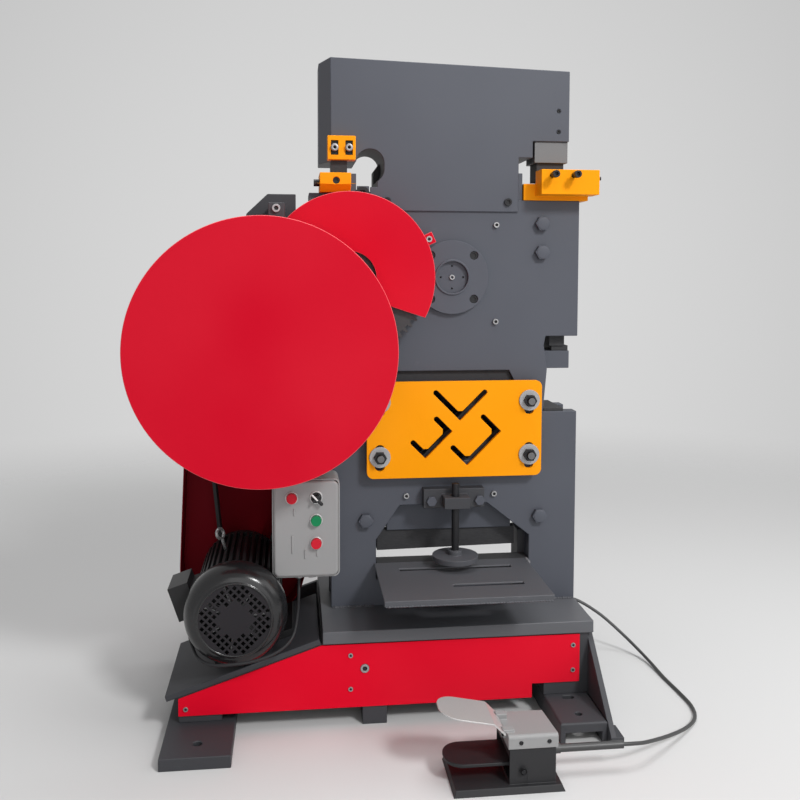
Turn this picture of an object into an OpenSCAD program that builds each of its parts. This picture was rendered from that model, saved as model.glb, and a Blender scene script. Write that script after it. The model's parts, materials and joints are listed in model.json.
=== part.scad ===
// Flywheel-driven combined punching, notching and shearing machine with its foot switch.
// Millimetres, +Z up, floor at zero, X right of the crank axis, Y back from the front plate's face.

/* [Frame] */
// Height of the crank axis above the floor
crank_z = 1134; // [1130:1:1138]
// Frame plate edge left of the crank axis
plate_left = 322; // [320:1:326]
// Frame plate edge right of the crank axis
plate_right = 349; // [345:1:351]
// Thickness of each frame plate
plate_t = 40; // [38:1:41]
// Depth over both frame plates
frame_depth = 160; // [158:1:166]
// Height of the shelves at the top of the plates
shelf_z = 1340; // [1340:1:1346]
// Top of the base slab
slab_top = 247; // [245:1:250]
// Thickness of the base slab
slab_t = 32; // [28:1:34]
// Slab in front of the frame plates
slab_over = 162; // [158:1:166]

/* [Slide] */
// Stroke of the slide
stroke = 26; // [25:1:26]
// Height of the slide head above the shelves, left end
head_h = 363; // [340:1:390]
// Drop of the head's top edge to its right end
head_drop = 21; // [0:1:40]
// Right end of the slide head from the crank axis
head_right = 316; // [315:1:330]
// Half width of the slide stem beside the crank
stem_half = 140; // [130:1:150]

/* [Drive] */
// Flywheel axis left of the crank axis
fly_x = 500; // [498:1:502]
// Flywheel radius
fly_r = 295; // [280:1:305]
// Radius of the flywheel guard
guard_r = 321; // [318:1:323]
// Radius of the gear guard
gear_guard_r = 216; // [215.5:0.5:217]
// Radius of the belt pulley on the flywheel shaft
pulley_r = 192; // [180:1:194]
// Radius of the motor pulley
motor_pulley_r = 62; // [56:1:66]
// Motor shaft height above its plate
motor_h = 137; // [136:1:142]
// Radius of the motor's fan cowl
cowl_r = 127; // [124:1:128]

/* [Stations] */
// Section plate left of the crank axis
section_left = 229; // [227:1:232]
// Section plate right of the crank axis
section_right = 242; // [240:1:246]
// Height of the section plate
section_h = 257; // [252:1:262]
// Radius of the hold-down pad
pad_r = 61; // [50:1:64]
// Height of the work table
table_z = 365; // [363:1:366]
// Depth of the work table
table_d = 282; // [250:1:290]

/* [Control] */
// Width of the control box
box_w = 170; // [166:1:174]
// Height of the control box
box_h = 251; // [244:1:252]
// Radius of a push button cap
button_r = 13; // [11:0.5:13.5]

/* [Foot switch] */
// Length of the foot switch tray
tray_l = 252; // [250:1:260]
// Width of the foot switch tray
tray_w = 162; // [160:1:170]
// Diameter of the foot switch cable
cable_d = 9; // [8:0.5:10]

/* [Hidden] */
$fn = 64;
over = 1;
fit = 0.05;
ease = 0.3;
mid_y = frame_depth / 2;

// Base
rail_t = 14;
panel_t = 4;
panel_in = 5;
panel_drop = 4;
rail_z = 48;
rail_end_z = 96;
rail_left = 707;
slope_x = 353;
rail_right = 340;
panel_right = 316;
foot_notch_x = 190;
foot_notch_z = 85;
rail_top = slab_top - slab_t;
panel_y = panel_in - slab_over;
rail_y = panel_y + panel_t;
slab_left = 350;
slab_right = 351;
slope_a = atan((rail_top - rail_end_z) / (rail_left - slope_x));
foot_w = 166;
foot_left = 734;
foot_t = 30;
foot_front = 318;
anchor_r = 11;
anchor_in = 62;
channel_x = 222;
channel_h = 52;
channel_t = 13;
channel_web = 24;
channel_front = 306;
channel_hole_r = 9;
channel_hole_in = 46;
channel_slot_in = 134;
channel_slot_half = 16;
pad_block_w = 62;
pad_block_d = 60;
pad_block_x = 249;
left_block_w = 106;
rib_mid_x = 20;
gusset_t = 14;
gusset_toe = 332;
gusset_toe_z = 24;
gusset_top_in = 22;
toe_bar_w = 33;
toe_bar_d = 62;
panel_screw_r = 6;
panel_screw_h = 3;
panel_screw_in = 18;
panel_screw_low = 32;
panel_screw_mid = -280;
panel_screw_places = [
    [-rail_left + panel_screw_in, rail_z + panel_screw_in],
    [panel_screw_mid, rail_top - panel_screw_low],
    [panel_screw_mid, rail_z + rail_z],
    [panel_right - panel_screw_in, rail_top - panel_screw_low],
    [panel_right - panel_screw_in, foot_notch_z + panel_screw_low]
];
tap_x = -244;
tap_z = 148;
tap_r = 11;
motor_plate_end = 372;
motor_plate_lip = 30;
motor_plate_t = 14;
motor_plate_back = 165;

// Openings in the frame plates
notch_top = 975;
notch_low = 769;
neck_x = 255;
neck_bulge = 10;
neck_z = 885;
neck_nick_z = 951;
window_left = 160;
window_right = 173;
window_top = 883;
window_low = 640;
window_nick = 14;
window_nick_h = 27;
shear_top = 521;
shear_top_left = 137;
shear_top_right = 102;
shear_left = 201;
shear_right = 219;
shear_knee = 429;
shear_low = 320;
tie_x = 246;
tie_high_z = 1278;
tie_mid_z = 1201;
tie_low_z = 483;
tie_left = 229;
tie_places = [[tie_x, tie_high_z], [tie_x, tie_mid_z], [tie_x, tie_low_z], [-tie_left, tie_low_z]];
tie_r = 12;
tie_af = 36;
tie_head = 15;
tie_spacer_r = 20;
liner_x = 120;
liner_w = 44;
liner_low = [530, 600];
liner_high = [995, 1297];
liner_screw_r = 7.5;
liner_screw_h = 8;

// Crank and its bearings
crank_e = stroke / 2;
journal_r = 42;
sleeve_r = 62;
flange_r = 98;
flange_t = 14;
flange_ring_r = 47;
flange_ring_t = 4;
flange_screw_off = 58;
flange_screw_r = 11;
flange_screw_sink = 8;
flange_places = [for (x = [-1, 1], z = [-1, 1])
    [x * flange_screw_off, crank_z + z * flange_screw_off]];
eccentric_r = 57;
block_half = 70;
block_half_z = 68;
crank_end = 6;
end_screw_r = 7;
end_screw_h = 5;
end_hole_r = 2.5;
end_hole_off = 30;
crank_tail_r = 40;
crank_tail_y = 268;
stem_gap = 4;
stem_front = plate_t + stem_gap;
stem_back = frame_depth - plate_t - stem_gap;

// Slide
slide_gap = 3;
head_proud = 6;
slide_back = frame_depth + head_proud;
head_flare = 28;
head_flare_d = 86;
head_left = plate_left + head_flare;
core_low = shelf_z + stroke + slide_gap;
pocket_x = 217;
pocket_h = 156;
pocket_z = shelf_z + pocket_h;
roof_h = 112;
throat_right = 179;
throat_left = 253;
roof_left_h = 95;
key_x = 218.5;
key_r = 36.5;
key_high_h = 92;
key_low_h = 77;
key_neck = 200;
key_fill_h = [81, 107];
key_fill_y = 110;
skirt_h = 32;
skirt_low = shelf_z - skirt_h;
skirt_gap = 0.6;
liner_screw_z = [547, 1015, skirt_low - stroke - liner_screw_r - over];
stem_step_z = 930;
stem_low_left = 168;
stem_low_right = 178;
tail_z = 440;
blade_left = 125;
blade_right = 135;
blade_low = 630;
blade_top = 865;
blade_t = 40;
shear_blade_left = 194;
shear_blade_right = 190;
shear_open = 19;
shear_rake = 7;
shear_blade_t = 30;
set_screw_x = 287;
set_screw_h = [182, 237];
set_screw_r = 5;
skirt_screw_x = [-174, 150];
skirt_screw_up = 26;
skirt_screw_r = 10;
skirt_screw_h = 7;

// Right notching station
holder_w = 91;
holder_in = 6;
holder_d = 86;
holder_h = 56;
notch_w = 74;
notch_in = 15;
notch_y = 10;
notch_d = 68;
notch_reach = 48;
die_left = 194;
die_right = 372;
die_back = 104;
die_base_h = 44;
die_front_y = 62;
die_block_x = 226;
die_block_w = 157;
die_block_low = 12;
die_block_h = 65;
die_lap = 2;
die_clear = 0.6;
die_screw_x = [255, 313];
die_screw_down = 15;
die_screw_r = 6;
die_screw_head_r = 9.5;
die_screw_head = 14;
die_screw_out = 38;
die_end_y = 40;
die_end_down = 20.5;
die_end_l = 10;
stop_gap = 2;
stop_w = 11;
stop_front = 5;
stop_back = 100;
stop_h = 72;

// Left notching station
top_left_x = 331;
top_left_w = 72;
top_left_d = 40;
top_left_h = 61;
top_screw_in = [18, 55];
top_screw_r = 7.5;
top_slot_half = 9;
top_slot_l = 18;
top_slot_d = 8;
top_shank_r = 6;
top_shank_l = 20;
top_hole_r = 6;
top_hole_d = 20;
punch_left = 322;
punch_w = 42;
punch_half_d = 28;
punch_h = 31;
low_left_x = 351;
low_left_w = 80;
low_left_front = 50;
low_left_back = 60;
low_left_h = 49;
low_left_cut = 20;
low_screw_in = 42;
low_screw_up = 29;
low_screw_r = 9;
low_screw_d = 10;
low_bolt_l = 15;
low_bolt_y = 22;
low_bolt_up = 24;
notch_shelf_left = 378;
notch_shelf_t = 13;
notch_shelf_front = 5;
notch_shelf_back = 120;
left_stop_w = 16;
left_stop_h = 51;
dome_x = -239;
dome_up = 11;
dome_r = 19;
dome_h = 10;
lug_right = 221;
lug_drop = 25;
lug_rise = 32;

// Bar station in the right notch
bar_left = 265;
bar_w = 70;
bar_front = 30;
bar_back = 130;
bar_low = 884;
bar_h = 48;
bar_blade_in = 22;
bar_blade_w = 46;
bar_blade_h = 14;
bar_hang_in = 14;
bar_hang_w = 42;
bar_rest_x = 258;
bar_rest_w = 55;
bar_rest_t = 8;
bar_step = 6;

// Section station
section_low = 602;
section_t = 12;
section_off = 22;
section_corner = 18;
stud_r = 9.5;
stud_l = 62;
stud_in = 34.5;
stud_low = 58;
stud_high = 204;
slot_half = 13;
slot_low = 25;
slot_up = 19;
washer_r = 28;
washer_t = 4;
nut_af = 30;
nut_h = 14;
spacer_r = 17;
stud_places = [for (x = [stud_in - section_left, section_right - stud_in],
    z = [stud_low, stud_high]) [x, section_low + z]];
cut_w = 14;
cut_fillet = 9;
angle_at = [20, 763];
angle_leg = 93;
small_at = [-73, 663];
small_web = 88;
small_flange = 47;
large_at = [40, 642];
large_web = 115;
large_flange = 55;
fixed_blade_t = 28;
chute_x = [-175, 185];
chute_z = [620, 895];
chute_d = 70;

// Hold-down and work table
hold_left = 77;
hold_right = 88;
hold_low = 518;
hold_h = 52;
hold_d = 30;
hold_block_left = 28;
hold_block_right = 41;
hold_block_up = 8;
hold_block_h = 30;
hold_block_d = 46;
hold_x = 5;
hold_y = -53;
hold_r = 10;
hold_top = 590;
hold_pad_z = 385;
hold_pad_t = 14;
hold_collar_r = 18;
hold_collar_h = 12;
hold_bolt_x = [-56, 74];
hold_bolt_up = 20;
hold_bolt_r = 8;
hold_bolt_af = 24;
hold_bolt_head = 10;
table_left = 207;
table_right = 210;
table_t = 5;
table_lip = 14;
table_slot_w = 18;
table_slots = [[-145, 155, -60], [-25, 157, -190]];
table_rib_x = 170;
table_rib_t = 8;
table_rib_d = 200;
table_rib_h = 70;
bed_left = 190;
bed_right = 219;
bed_cheek = 19;
bed_z = 320;
low_blade_in = 2;
low_blade_y = 0;
low_blade_gap = 0.4;
shear_line = 50;

// Gears, shafts and flywheel
gear_module = 6;
fly_teeth = 31;
counter_teeth = 66;
rear_teeth = 20;
bull_teeth = 71;
addendum_share = 0.9;
dedendum_share = 1.15;
tooth_shares = [-0.29, -0.11, 0.11, 0.29];
counter_up = 7;
rear_pitch = gear_module * (rear_teeth + bull_teeth) / 2;
front_pitch = gear_module * (fly_teeth + counter_teeth) / 2;
counter_z = crank_z + counter_up;
counter_x = -sqrt(rear_pitch * rear_pitch - counter_up * counter_up);
fly_drop = sqrt(front_pitch * front_pitch - (fly_x + counter_x) * (fly_x + counter_x));
fly_z = counter_z - fly_drop;
fly_shaft_r = 30;
fly_shaft_front = -252;
shaft_back = 268;
front_gear_y = [-95, -35];
rear_gear_y = [178, 234];
counter_r = 25;
counter_front = -100;
counter_back = 242;
counter_hub_r = 46;
fly_y = [-245, -140];
fly_rim = 70;
fly_web = 30;
fly_hub_r = 60;
pulley_y = [205, 265];
pulley_web = 16;
pulley_hub_r = 50;
pulley_rim = 24;
belt_count = 3;
belt_w = 13;
groove_w = 15;
groove_d = 10;
belt_h = 9;

// Bracket and guards
bracket_y = [10, 150];
bracket_wall = 20;
bracket_flange = 14;
bracket_low = 800;
bracket_flange_top = 1190;
bracket_arm_x = [412, 485, 540];
bracket_arm_low = 1240;
bracket_top = 1350;
bracket_cut = 52;
bracket_side_x = 545;
bracket_side_z = [860, 1100];
bracket_ear = 90;
bracket_ear_h = 50;
bracket_foot_x = 440;
bracket_boss_r = 75;
lug_x = 460;
lug_half = 15;
lug_d = 25;
lug_h = 3;
boss_half = 20;
boss_h = 36;
boss_screw_up = 22;
boss_screw_r = 10;
boss_screw_h = 8;
guard_t = 3;
guard_in = 7;
guard_x = fly_x - guard_in;
boss_low = fly_z + sqrt(guard_r * guard_r - (guard_x - lug_x) * (guard_x - lug_x)) + lug_h;
guard_y = [-262, -125];
gear_guard_y = [-112, -16];
gear_guard_hole = 66;
gear_guard_off = [-4.6, -7];
gear_guard_at = [counter_x, counter_z] + gear_guard_off;
gear_guard_cut_a = -18.2;
gear_guard_cut = 37;
gear_tab_a = 25.2;
gear_tab_r = 235;
gear_tab_half = 15;
gear_tab_screw_r = 8;
gear_tab_screw_h = 8;
gear_post_r = 9;
gear_tab_at = gear_guard_at + gear_tab_r * [cos(gear_tab_a), sin(gear_tab_a)];
belt_guard_top = 212;
belt_guard_low = 178;
belt_guard_y = [196, 280];
cover_r = 226;
cover_pinion_r = 74;
cover_y = [168, 256];
cover_foot_r = 12;
cover_foot_a = [-110, -40, 30];
stay_r = 8;
stay_a = [45, 90];

// Motor, in its own tilted frame with the shaft along Y
motor_s = 201;
motor_x = -rail_left + motor_s * cos(slope_a) - (motor_plate_t + motor_h) * sin(slope_a);
motor_z = rail_end_z + motor_s * sin(slope_a) + (motor_plate_t + motor_h) * cos(slope_a);
motor_r = 98;
motor_fin = 14;
motor_fins = 40;
motor_fin_share = 0.22;
motor_body_y = [-135, 170];
motor_bore = 60;
motor_shield_y = 190;
motor_shield_r = 108;
motor_front_t = 3;
motor_foot_half = 108;
motor_foot_t = 18;
motor_lift = 0.01;
motor_foot_y = [-70, 120];
motor_web_half = 70;
motor_shaft_r = 19;
motor_core_r = 55;
motor_core_y = [-80, 140];
cowl_y = [-200, -137];
cowl_face_r = 90;
cowl_shoulder = 50;
cowl_t = 3;
grille_pitch = 14;
grille_hole = 8.5;
grille_ring = [44, 82];
grille_rows = 6;
fan_y = [-182, -146];
fan_r = 84;
fan_hub_r = 34;
fan_blades = 7;
fan_blade_t = 4;
term_x = [-152, -100];
term_y = [-90, 20];
term_z = [6, 96];
term_lid_t = 6;
eye_y = 20;
eye_r = 13;
eye_wire = 4;
eye_up = 46;
eye_turn = 55;

// Control box
box_right = 305;
box_low = 377;
box_y = [-125, -25];
box_wall = 4;
lid_t = 8;
lid_in = 4;
box_corner = 15;
lug_box_w = 15;
lug_box_z = [430, 580];
bezel_r = 16;
bezel_h = 3;
button_throw = 4;
button_out = 9;
button_stem_r = 8;
button_stem_l = 24;
button_left_in = 49;
button_right_in = 110;
button_top_in = 45;
button_step = 58;
knob_out = 15;
knob_bar = 7;
gland_r = 11;
gland_h = 16;
gland_in = [67, 100];
gland_y = -75;
machine_gland_y = 255;
machine_gland_z = 150;
machine_gland_l = 20;
motor_cable_d = 8;

// Foot switch
tray_left = 76;
tray_front = 496;
tray_t = 4;
tray_h = 14;
tray_flare = 6;
foot_x = [52, 158];
foot_y = [-480, -350];
foot_top = 96;
foot_wall = 5;
foot_mouth_z = [20, 74];
hood_lap = 4;
hood_front = 122;
hood_top = 127;
hood_cut = 5;
hood_back = 113;
hood_wall = 4;
flap_x = 41;
flap_z = 121;
flap_r = 6;
flap_pin_r = 3;
flap_l = 122;
strip_l = 37;
strip_a = 45;
flap_t = 3;
flap_y = [-474, -366];
flap_a = 11;
flap_tip = 46;
hinge_l = 26;
hinge_up = 3;
knuckle_y = [-463, -444, -392, -373];
treadle_l = 168;
treadle_y = [-459, -358];
treadle_z = 46;
treadle_t = 8;
treadle_pin_x = 82;
treadle_pin_r = 5;
treadle_eye_r = 11;
treadle_tip = 44;
coil_y = [-489.5, -481];
coil_r = 8;
coil_wire = 1.2;
coil_turns = 3;
coil_sides = 6;
pedal_gland_y = -428;
pedal_gland_z = 62;
pedal_gland_r = 11;
pedal_gland_l = 24;
sleeve_l = 150;
sleeve_cable_r = 9;

// Foot switch cable from the gland on the base to the sleeve on the foot switch
cable_route = [
    [374, 255, 150], [405, 258, 150], [450, 250, 138], [510, 225, 102], [565, 190, 55], [600, 145, 22],
    [613, 80, 9], [616, 0, 5], [621, -90, 5], [621, -165, 5], [602, -225, 5], [556, -278, 10],
    [479, -344, 28], [402, -402, 49], [365, -423, 59], [332, -428, 62]
];
// Motor cable from the control box to the terminal box
wire_route = [
    [-408, -75, 361], [-409, -95, 325], [-413, -150, 290], [-425, -192, 252], [-460, -210, 225],
    [-515, -216, 207], [-575, -216, 200], [-622, -205, 197], [-655, -172, 200], [-672, -130, 206],
    [-684, -95, 222], [-687, -70, 245], [-687, -60, 271]
];
ring_sides = 10;
route_steps = 4;

// A block between two corners
module bar(x0, x1, y0, y1, z0, z1) {
    translate([x0, y0, z0]) cube([x1 - x0, y1 - y0, z1 - z0]);
}

// An outline in X and Z, thick from y0 to y1
module face(y0, y1) {
    translate([0, y1, 0]) rotate([90, 0, 0]) linear_extrude(y1 - y0) children();
}

// An outline in Y and Z, thick from x0 to x1
module side(x0, x1) {
    translate([x0, 0, 0]) rotate([90, 0, 90]) linear_extrude(x1 - x0) children();
}

// Round bars along each axis
module rod_x(y, z, r, x0, x1) {
    translate([x0, y, z]) rotate([0, 90, 0]) cylinder(h = x1 - x0, r = r);
}
module rod_y(x, z, r, y0, y1) {
    translate([x, y1, z]) rotate([90, 0, 0]) cylinder(h = y1 - y0, r = r);
}
module rod_z(x, y, r, z0, z1) {
    translate([x, y, z0]) cylinder(h = z1 - z0, r = r);
}

// A hexagonal bar along Y, measured across its flats
module hex_y(x, z, af, y0, y1) {
    translate([x, y1, z]) rotate([90, 0, 0]) cylinder(h = y1 - y0, r = af / 2 / cos(30), $fn = 6);
}

// A turned shape whose profile is written as radius and Y
module turned(x, z, profile) {
    translate([x, 0, z]) rotate([-90, 0, 0]) rotate_extrude() polygon(profile);
}

// A socket-head screw facing the front: its head stands from y back by h, then a shank
module cap_screw(x, z, y, r, h, shank_r, shank_l) {
    difference() {
        union() {
            rod_y(x, z, r, y, y + h);
            rod_y(x, z, shank_r, y + h - over, y + h + shank_l);
        }
        hex_y(x, z, r, y - over, y + h / 2);
    }
}

// The same at the front and the back of the frame
module front_and_back() {
    children();
    translate([0, frame_depth, 0]) mirror([0, 1, 0]) children();
}

// Tooth outline: root, two tip corners and root again for each tooth
function gear_outline(teeth, phase) = [
    for (i = [0:teeth - 1], k = [0:3])
        let (a = 360 / teeth * (i + tooth_shares[k]) + phase)
        let (end_share = (k == 0 || k == 3) ? -dedendum_share : addendum_share)
        let (r = gear_module * (teeth / 2 + end_share))
        [r * cos(a), r * sin(a)]
];

// Outline of a band round two circles, from their centres and radii
function band_outline(p, pr, q, qr) =
    let (d = norm(q - p))
    let (lean = atan2(q[1] - p[1], q[0] - p[0]))
    let (half = acos((pr - qr) / d))
    concat(
        [for (i = [0:band_steps]) let (a = lean + half + (360 - 2 * half) * i / band_steps)
            p + pr * [cos(a), sin(a)]],
        [for (i = [0:band_steps]) let (a = lean - half + 2 * half * i / band_steps)
            q + qr * [cos(a), sin(a)]]
    );
band_steps = 36;

// Points along a smooth route
function on_route(route, i, t) =
    let (n = len(route) - 1)
    let (a = route[max(i - 1, 0)])
    let (b = route[i])
    let (c = route[min(i + 1, n)])
    let (d = route[min(i + 2, n)])
    b + t / 2 * (c - a) + t * t / 2 * (2 * a - 5 * b + 4 * c - d) + t * t * t / 2 * (3 * b - a - 3 * c + d);
function smooth(route, steps) = concat(
    [for (i = [0:len(route) - 2], k = [0:steps - 1]) on_route(route, i, k / steps)],
    [route[len(route) - 1]]
);
function unit(v) = v / norm(v);
function along(pts, i) = unit(pts[min(i + 1, len(pts) - 1)] - pts[max(i - 1, 0)]);
function carried(pts, last, i) = i == len(pts) ? [] :
    let (t = along(pts, i))
    let (u = unit(last - (last * t) * t))
    concat([u], carried(pts, u, i + 1));

// One closed tube swept along points, its rings carried without twist
module tube(pts, r, sides, first) {
    u = carried(pts, first, 0);
    count = len(pts);
    rings = [for (i = [0:count - 1], k = [0:sides - 1])
        let (v = cross(along(pts, i), u[i]))
        pts[i] + r * (cos(360 * k / sides) * u[i] + sin(360 * k / sides) * v)];
    skin = [for (i = [0:count - 2], k = [0:sides - 1], h = [0, 1])
        let (a = i * sides + k)
        let (b = i * sides + (k + 1) % sides)
        h == 0 ? [a, a + sides, b] : [b, a + sides, b + sides]];
    start = [for (k = [1:sides - 2]) [0, k, k + 1]];
    base = (count - 1) * sides;
    stop = [for (k = [1:sides - 2]) [base, base + k + 1, base + k]];
    polyhedron(rings, concat(skin, start, stop));
}

// Base

module rail_outline(right, drop, in) {
    polygon([
        [-rail_left + in, rail_z], [foot_notch_x, rail_z], [foot_notch_x, foot_notch_z], [right, foot_notch_z],
        [right, rail_top - drop], [-slope_x, rail_top - drop], [-rail_left + in, rail_end_z - drop]
    ]);
}

module left_foot_plate() {
    color("dimgray") difference() {
        bar(-foot_left, foot_w - foot_left, -foot_front, frame_depth + foot_front, 0, foot_t);
        front_and_back()
            rod_z(foot_w / 2 - foot_left, anchor_in - foot_front, anchor_r, -over, foot_t + over);
    }
}

module right_foot_channel() {
    x = (channel_x + rail_right) / 2;
    color("dimgray") difference() {
        bar(channel_x, rail_right, -channel_front, frame_depth + channel_front, 0, channel_h);
        bar(channel_x + channel_t, rail_right - channel_t, -channel_front - over,
            frame_depth + channel_front + over, -over, channel_h - channel_web);
        front_and_back() {
            rod_z(x, channel_hole_in - channel_front, channel_hole_r, 0, channel_h + over);
            translate([x, channel_slot_in - channel_front, 0]) linear_extrude(channel_h + over)
                rounded(-channel_slot_half, channel_slot_half, -channel_hole_r, channel_hole_r,
                    channel_hole_r - ease);
        }
    }
}

module base_frame() {
    inner = frame_depth - 2 * rail_y - 2 * rail_t;
    color("dimgray") {
        difference() {
            union() {
                front_and_back() face(rail_y, rail_y + rail_t) rail_outline(rail_right, 0, 0);
                for (x = [-rail_left, -slope_x, rib_mid_x])
                    bar(x, x + rail_t, rail_y + rail_t, rail_y + rail_t + inner, rail_z,
                        x == -rail_left ? rail_end_z : rail_top);
                bar(rail_right - rail_t, rail_right, rail_y + rail_t, rail_y + rail_t + inner, foot_notch_z,
                    rail_top);
                front_and_back() {
                    bar(-pad_block_x, pad_block_w - pad_block_x, rail_y, rail_y + pad_block_d, 0, rail_z + over);
                    bar(-rail_left, left_block_w - rail_left, rail_y, rail_y + pad_block_d, foot_t, rail_z + over);
                    bar(channel_x, rail_right, rail_y, rail_y + pad_block_d, channel_h, foot_notch_z + over);
                }
                side(rail_right - over, rail_right + gusset_t) polygon([
                    [gusset_top_in + panel_y, rail_top], [-gusset_toe, gusset_toe_z], [-gusset_toe, 0],
                    [frame_depth + gusset_toe, 0], [frame_depth + gusset_toe, gusset_toe_z],
                    [frame_depth - gusset_top_in - panel_y, rail_top]
                ]);
                front_and_back()
                    bar(rail_right, rail_right + toe_bar_w, -gusset_toe, toe_bar_d - gusset_toe, 0, gusset_toe_z);
            }
            bar(channel_x - over, rail_right, -gusset_toe - over, frame_depth + gusset_toe + over, -over,
                channel_h);
            for (p = panel_screw_places)
                front_and_back()
                    rod_y(p[0], p[1], panel_screw_r / 2 + ease, panel_y - over, rail_y + rail_t / 2);
            front_and_back() rod_y(tap_x, tap_z, tap_r / 2 + ease, panel_y - over, rail_y + rail_t / 2);
        }
    }
}

module side_panels() {
    color("firebrick") front_and_back() difference() {
        face(panel_y, rail_y) rail_outline(panel_right, panel_drop, 0);
        for (p = panel_screw_places)
            rod_y(p[0], p[1], panel_screw_r / 2 + ease, panel_y - over, rail_y + over);
        rod_y(tap_x, tap_z, tap_r + ease, panel_y - over, rail_y + over);
    }
}

module base_slab() {
    color("dimgray")
        bar(-slab_left, slab_right, -slab_over, frame_depth + slab_over, rail_top, slab_top);
}

module motor_plate() {
    color("dimgray") translate([-rail_left, 0, rail_end_z]) rotate([0, -slope_a, 0])
        bar(-motor_plate_lip, motor_plate_end, panel_y, motor_plate_back, 0, motor_plate_t);
}

// Frame

module window_outline() {
    polygon([
        [-window_left, window_low], [window_right, window_low], [window_right, window_top - window_nick_h],
        [window_right - window_nick, window_top], [window_nick - window_left, window_top],
        [-window_left, window_top - window_nick_h]
    ]);
}

module plate_outline() {
    difference() {
        polygon([
            [-plate_left, slab_top], [plate_right, slab_top], [plate_right, notch_low], [neck_x, notch_low],
            [neck_x + neck_bulge, neck_z], [neck_x, neck_nick_z], [neck_x + neck_bulge / 2, notch_top],
            [plate_right, notch_top], [plate_right, shelf_z], [-plate_left, shelf_z]
        ]);
        window_outline();
        polygon([
            [-shear_top_left, shear_top], [shear_top_right, shear_top], [shear_right, shear_knee],
            [shear_right, shear_low], [-shear_left, shear_low], [-shear_left, shear_knee]
        ]);
        translate([0, crank_z]) circle(sleeve_r);
        translate([counter_x, counter_z]) circle(counter_r + fit);
        for (p = tie_places) translate(p) circle(tie_r + ease);
        for (x = [-liner_x, liner_x], z = liner_screw_z) translate([x, z]) circle(liner_screw_r / 2 + ease);
        for (p = flange_places) translate(p) circle(flange_screw_r / 2 + ease);
    }
}

module front_plate() {
    color("slategray") difference() {
        face(0, plate_t) plate_outline();
        for (p = stud_places) rod_y(p[0], p[1], stud_r + ease, -over, plate_t);
        for (x = hold_bolt_x)
            rod_y(x, hold_low + hold_bolt_up, hold_bolt_r + ease, -over, plate_t / 2);
        rod_y(gear_tab_at[0], gear_tab_at[1], gear_tab_screw_r / 2 + ease, -over, plate_t / 2);
    }
}

module rear_plate() {
    color("slategray") face(frame_depth - plate_t, frame_depth) plate_outline();
}

module tie_bolts() {
    color("dimgray") {
        for (p = tie_places) {
            hex_y(p[0], p[1], tie_af, -tie_head, 0);
            rod_y(p[0], p[1], tie_r, -over, frame_depth + tie_head);
            hex_y(p[0], p[1], tie_af, frame_depth, frame_depth + tie_head);
            difference() {
                rod_y(p[0], p[1], tie_spacer_r, plate_t, frame_depth - plate_t);
                rod_y(p[0], p[1], tie_r + ease, plate_t - over, frame_depth - plate_t + over);
            }
        }
        for (x = hold_bolt_x) {
            hex_y(x, hold_low + hold_bolt_up, hold_bolt_af, -hold_d - hold_bolt_head, -hold_d);
            rod_y(x, hold_low + hold_bolt_up, hold_bolt_r, -hold_d - over, plate_t / 2);
        }
    }
}

module slide_liners() {
    color("darkgoldenrod") front_and_back()
        for (x = [-liner_x, liner_x], z = [liner_low, liner_high])
            bar(x - liner_w / 2, x + liner_w / 2, plate_t, plate_t + stem_gap - ease, z[0], z[1]);
}

module frame_screws() {
    color("silver") {
        front_and_back() {
            for (x = [-liner_x, liner_x], z = liner_screw_z)
                cap_screw(x, z, -liner_screw_h, liner_screw_r, liner_screw_h, liner_screw_r / 2, plate_t);
            for (p = panel_screw_places)
                cap_screw(p[0], p[1], panel_y - panel_screw_h, panel_screw_r, panel_screw_h,
                    panel_screw_r / 2, panel_t + rail_t / 2);
            cap_screw(tap_x, tap_z, panel_y - panel_screw_h, tap_r, panel_screw_h + panel_t, tap_r / 2,
                rail_t / 2);
        }
        cap_screw(gear_tab_at[0], gear_tab_at[1], gear_guard_y[1] - 2 * guard_t - gear_tab_screw_h, gear_tab_screw_r,
            gear_tab_screw_h, gear_tab_screw_r / 2, 2 * guard_t - gear_guard_y[1] + plate_t / 2);
        cap_screw(-lug_x, boss_low + boss_screw_up, guard_y[1] - lug_d - boss_screw_h, boss_screw_r,
            boss_screw_h, boss_screw_r / 2, lug_d);
    }
}

module crank_bearings() {
    color("slategray") {
        front_and_back() difference() {
            union() {
                rod_y(0, crank_z, flange_r, -flange_t, 0);
                rod_y(0, crank_z, sleeve_r, -over, plate_t);
            }
            rod_y(0, crank_z, journal_r + fit, -flange_t - over, plate_t + over);
            for (p = flange_places) {
                rod_y(p[0], p[1], flange_screw_r + ease, -flange_t - over, flange_screw_sink - flange_t);
                rod_y(p[0], p[1], flange_screw_r / 2 + ease, -flange_t - over, plate_t + over);
            }
        }
        turned(0, crank_z, [
            [journal_r + fit, -flange_t - flange_ring_t], [flange_ring_r, -flange_t - flange_ring_t],
            [flange_ring_r, -flange_t], [journal_r + fit, -flange_t]
        ]);
    }
}

// Slide and what it carries

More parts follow.
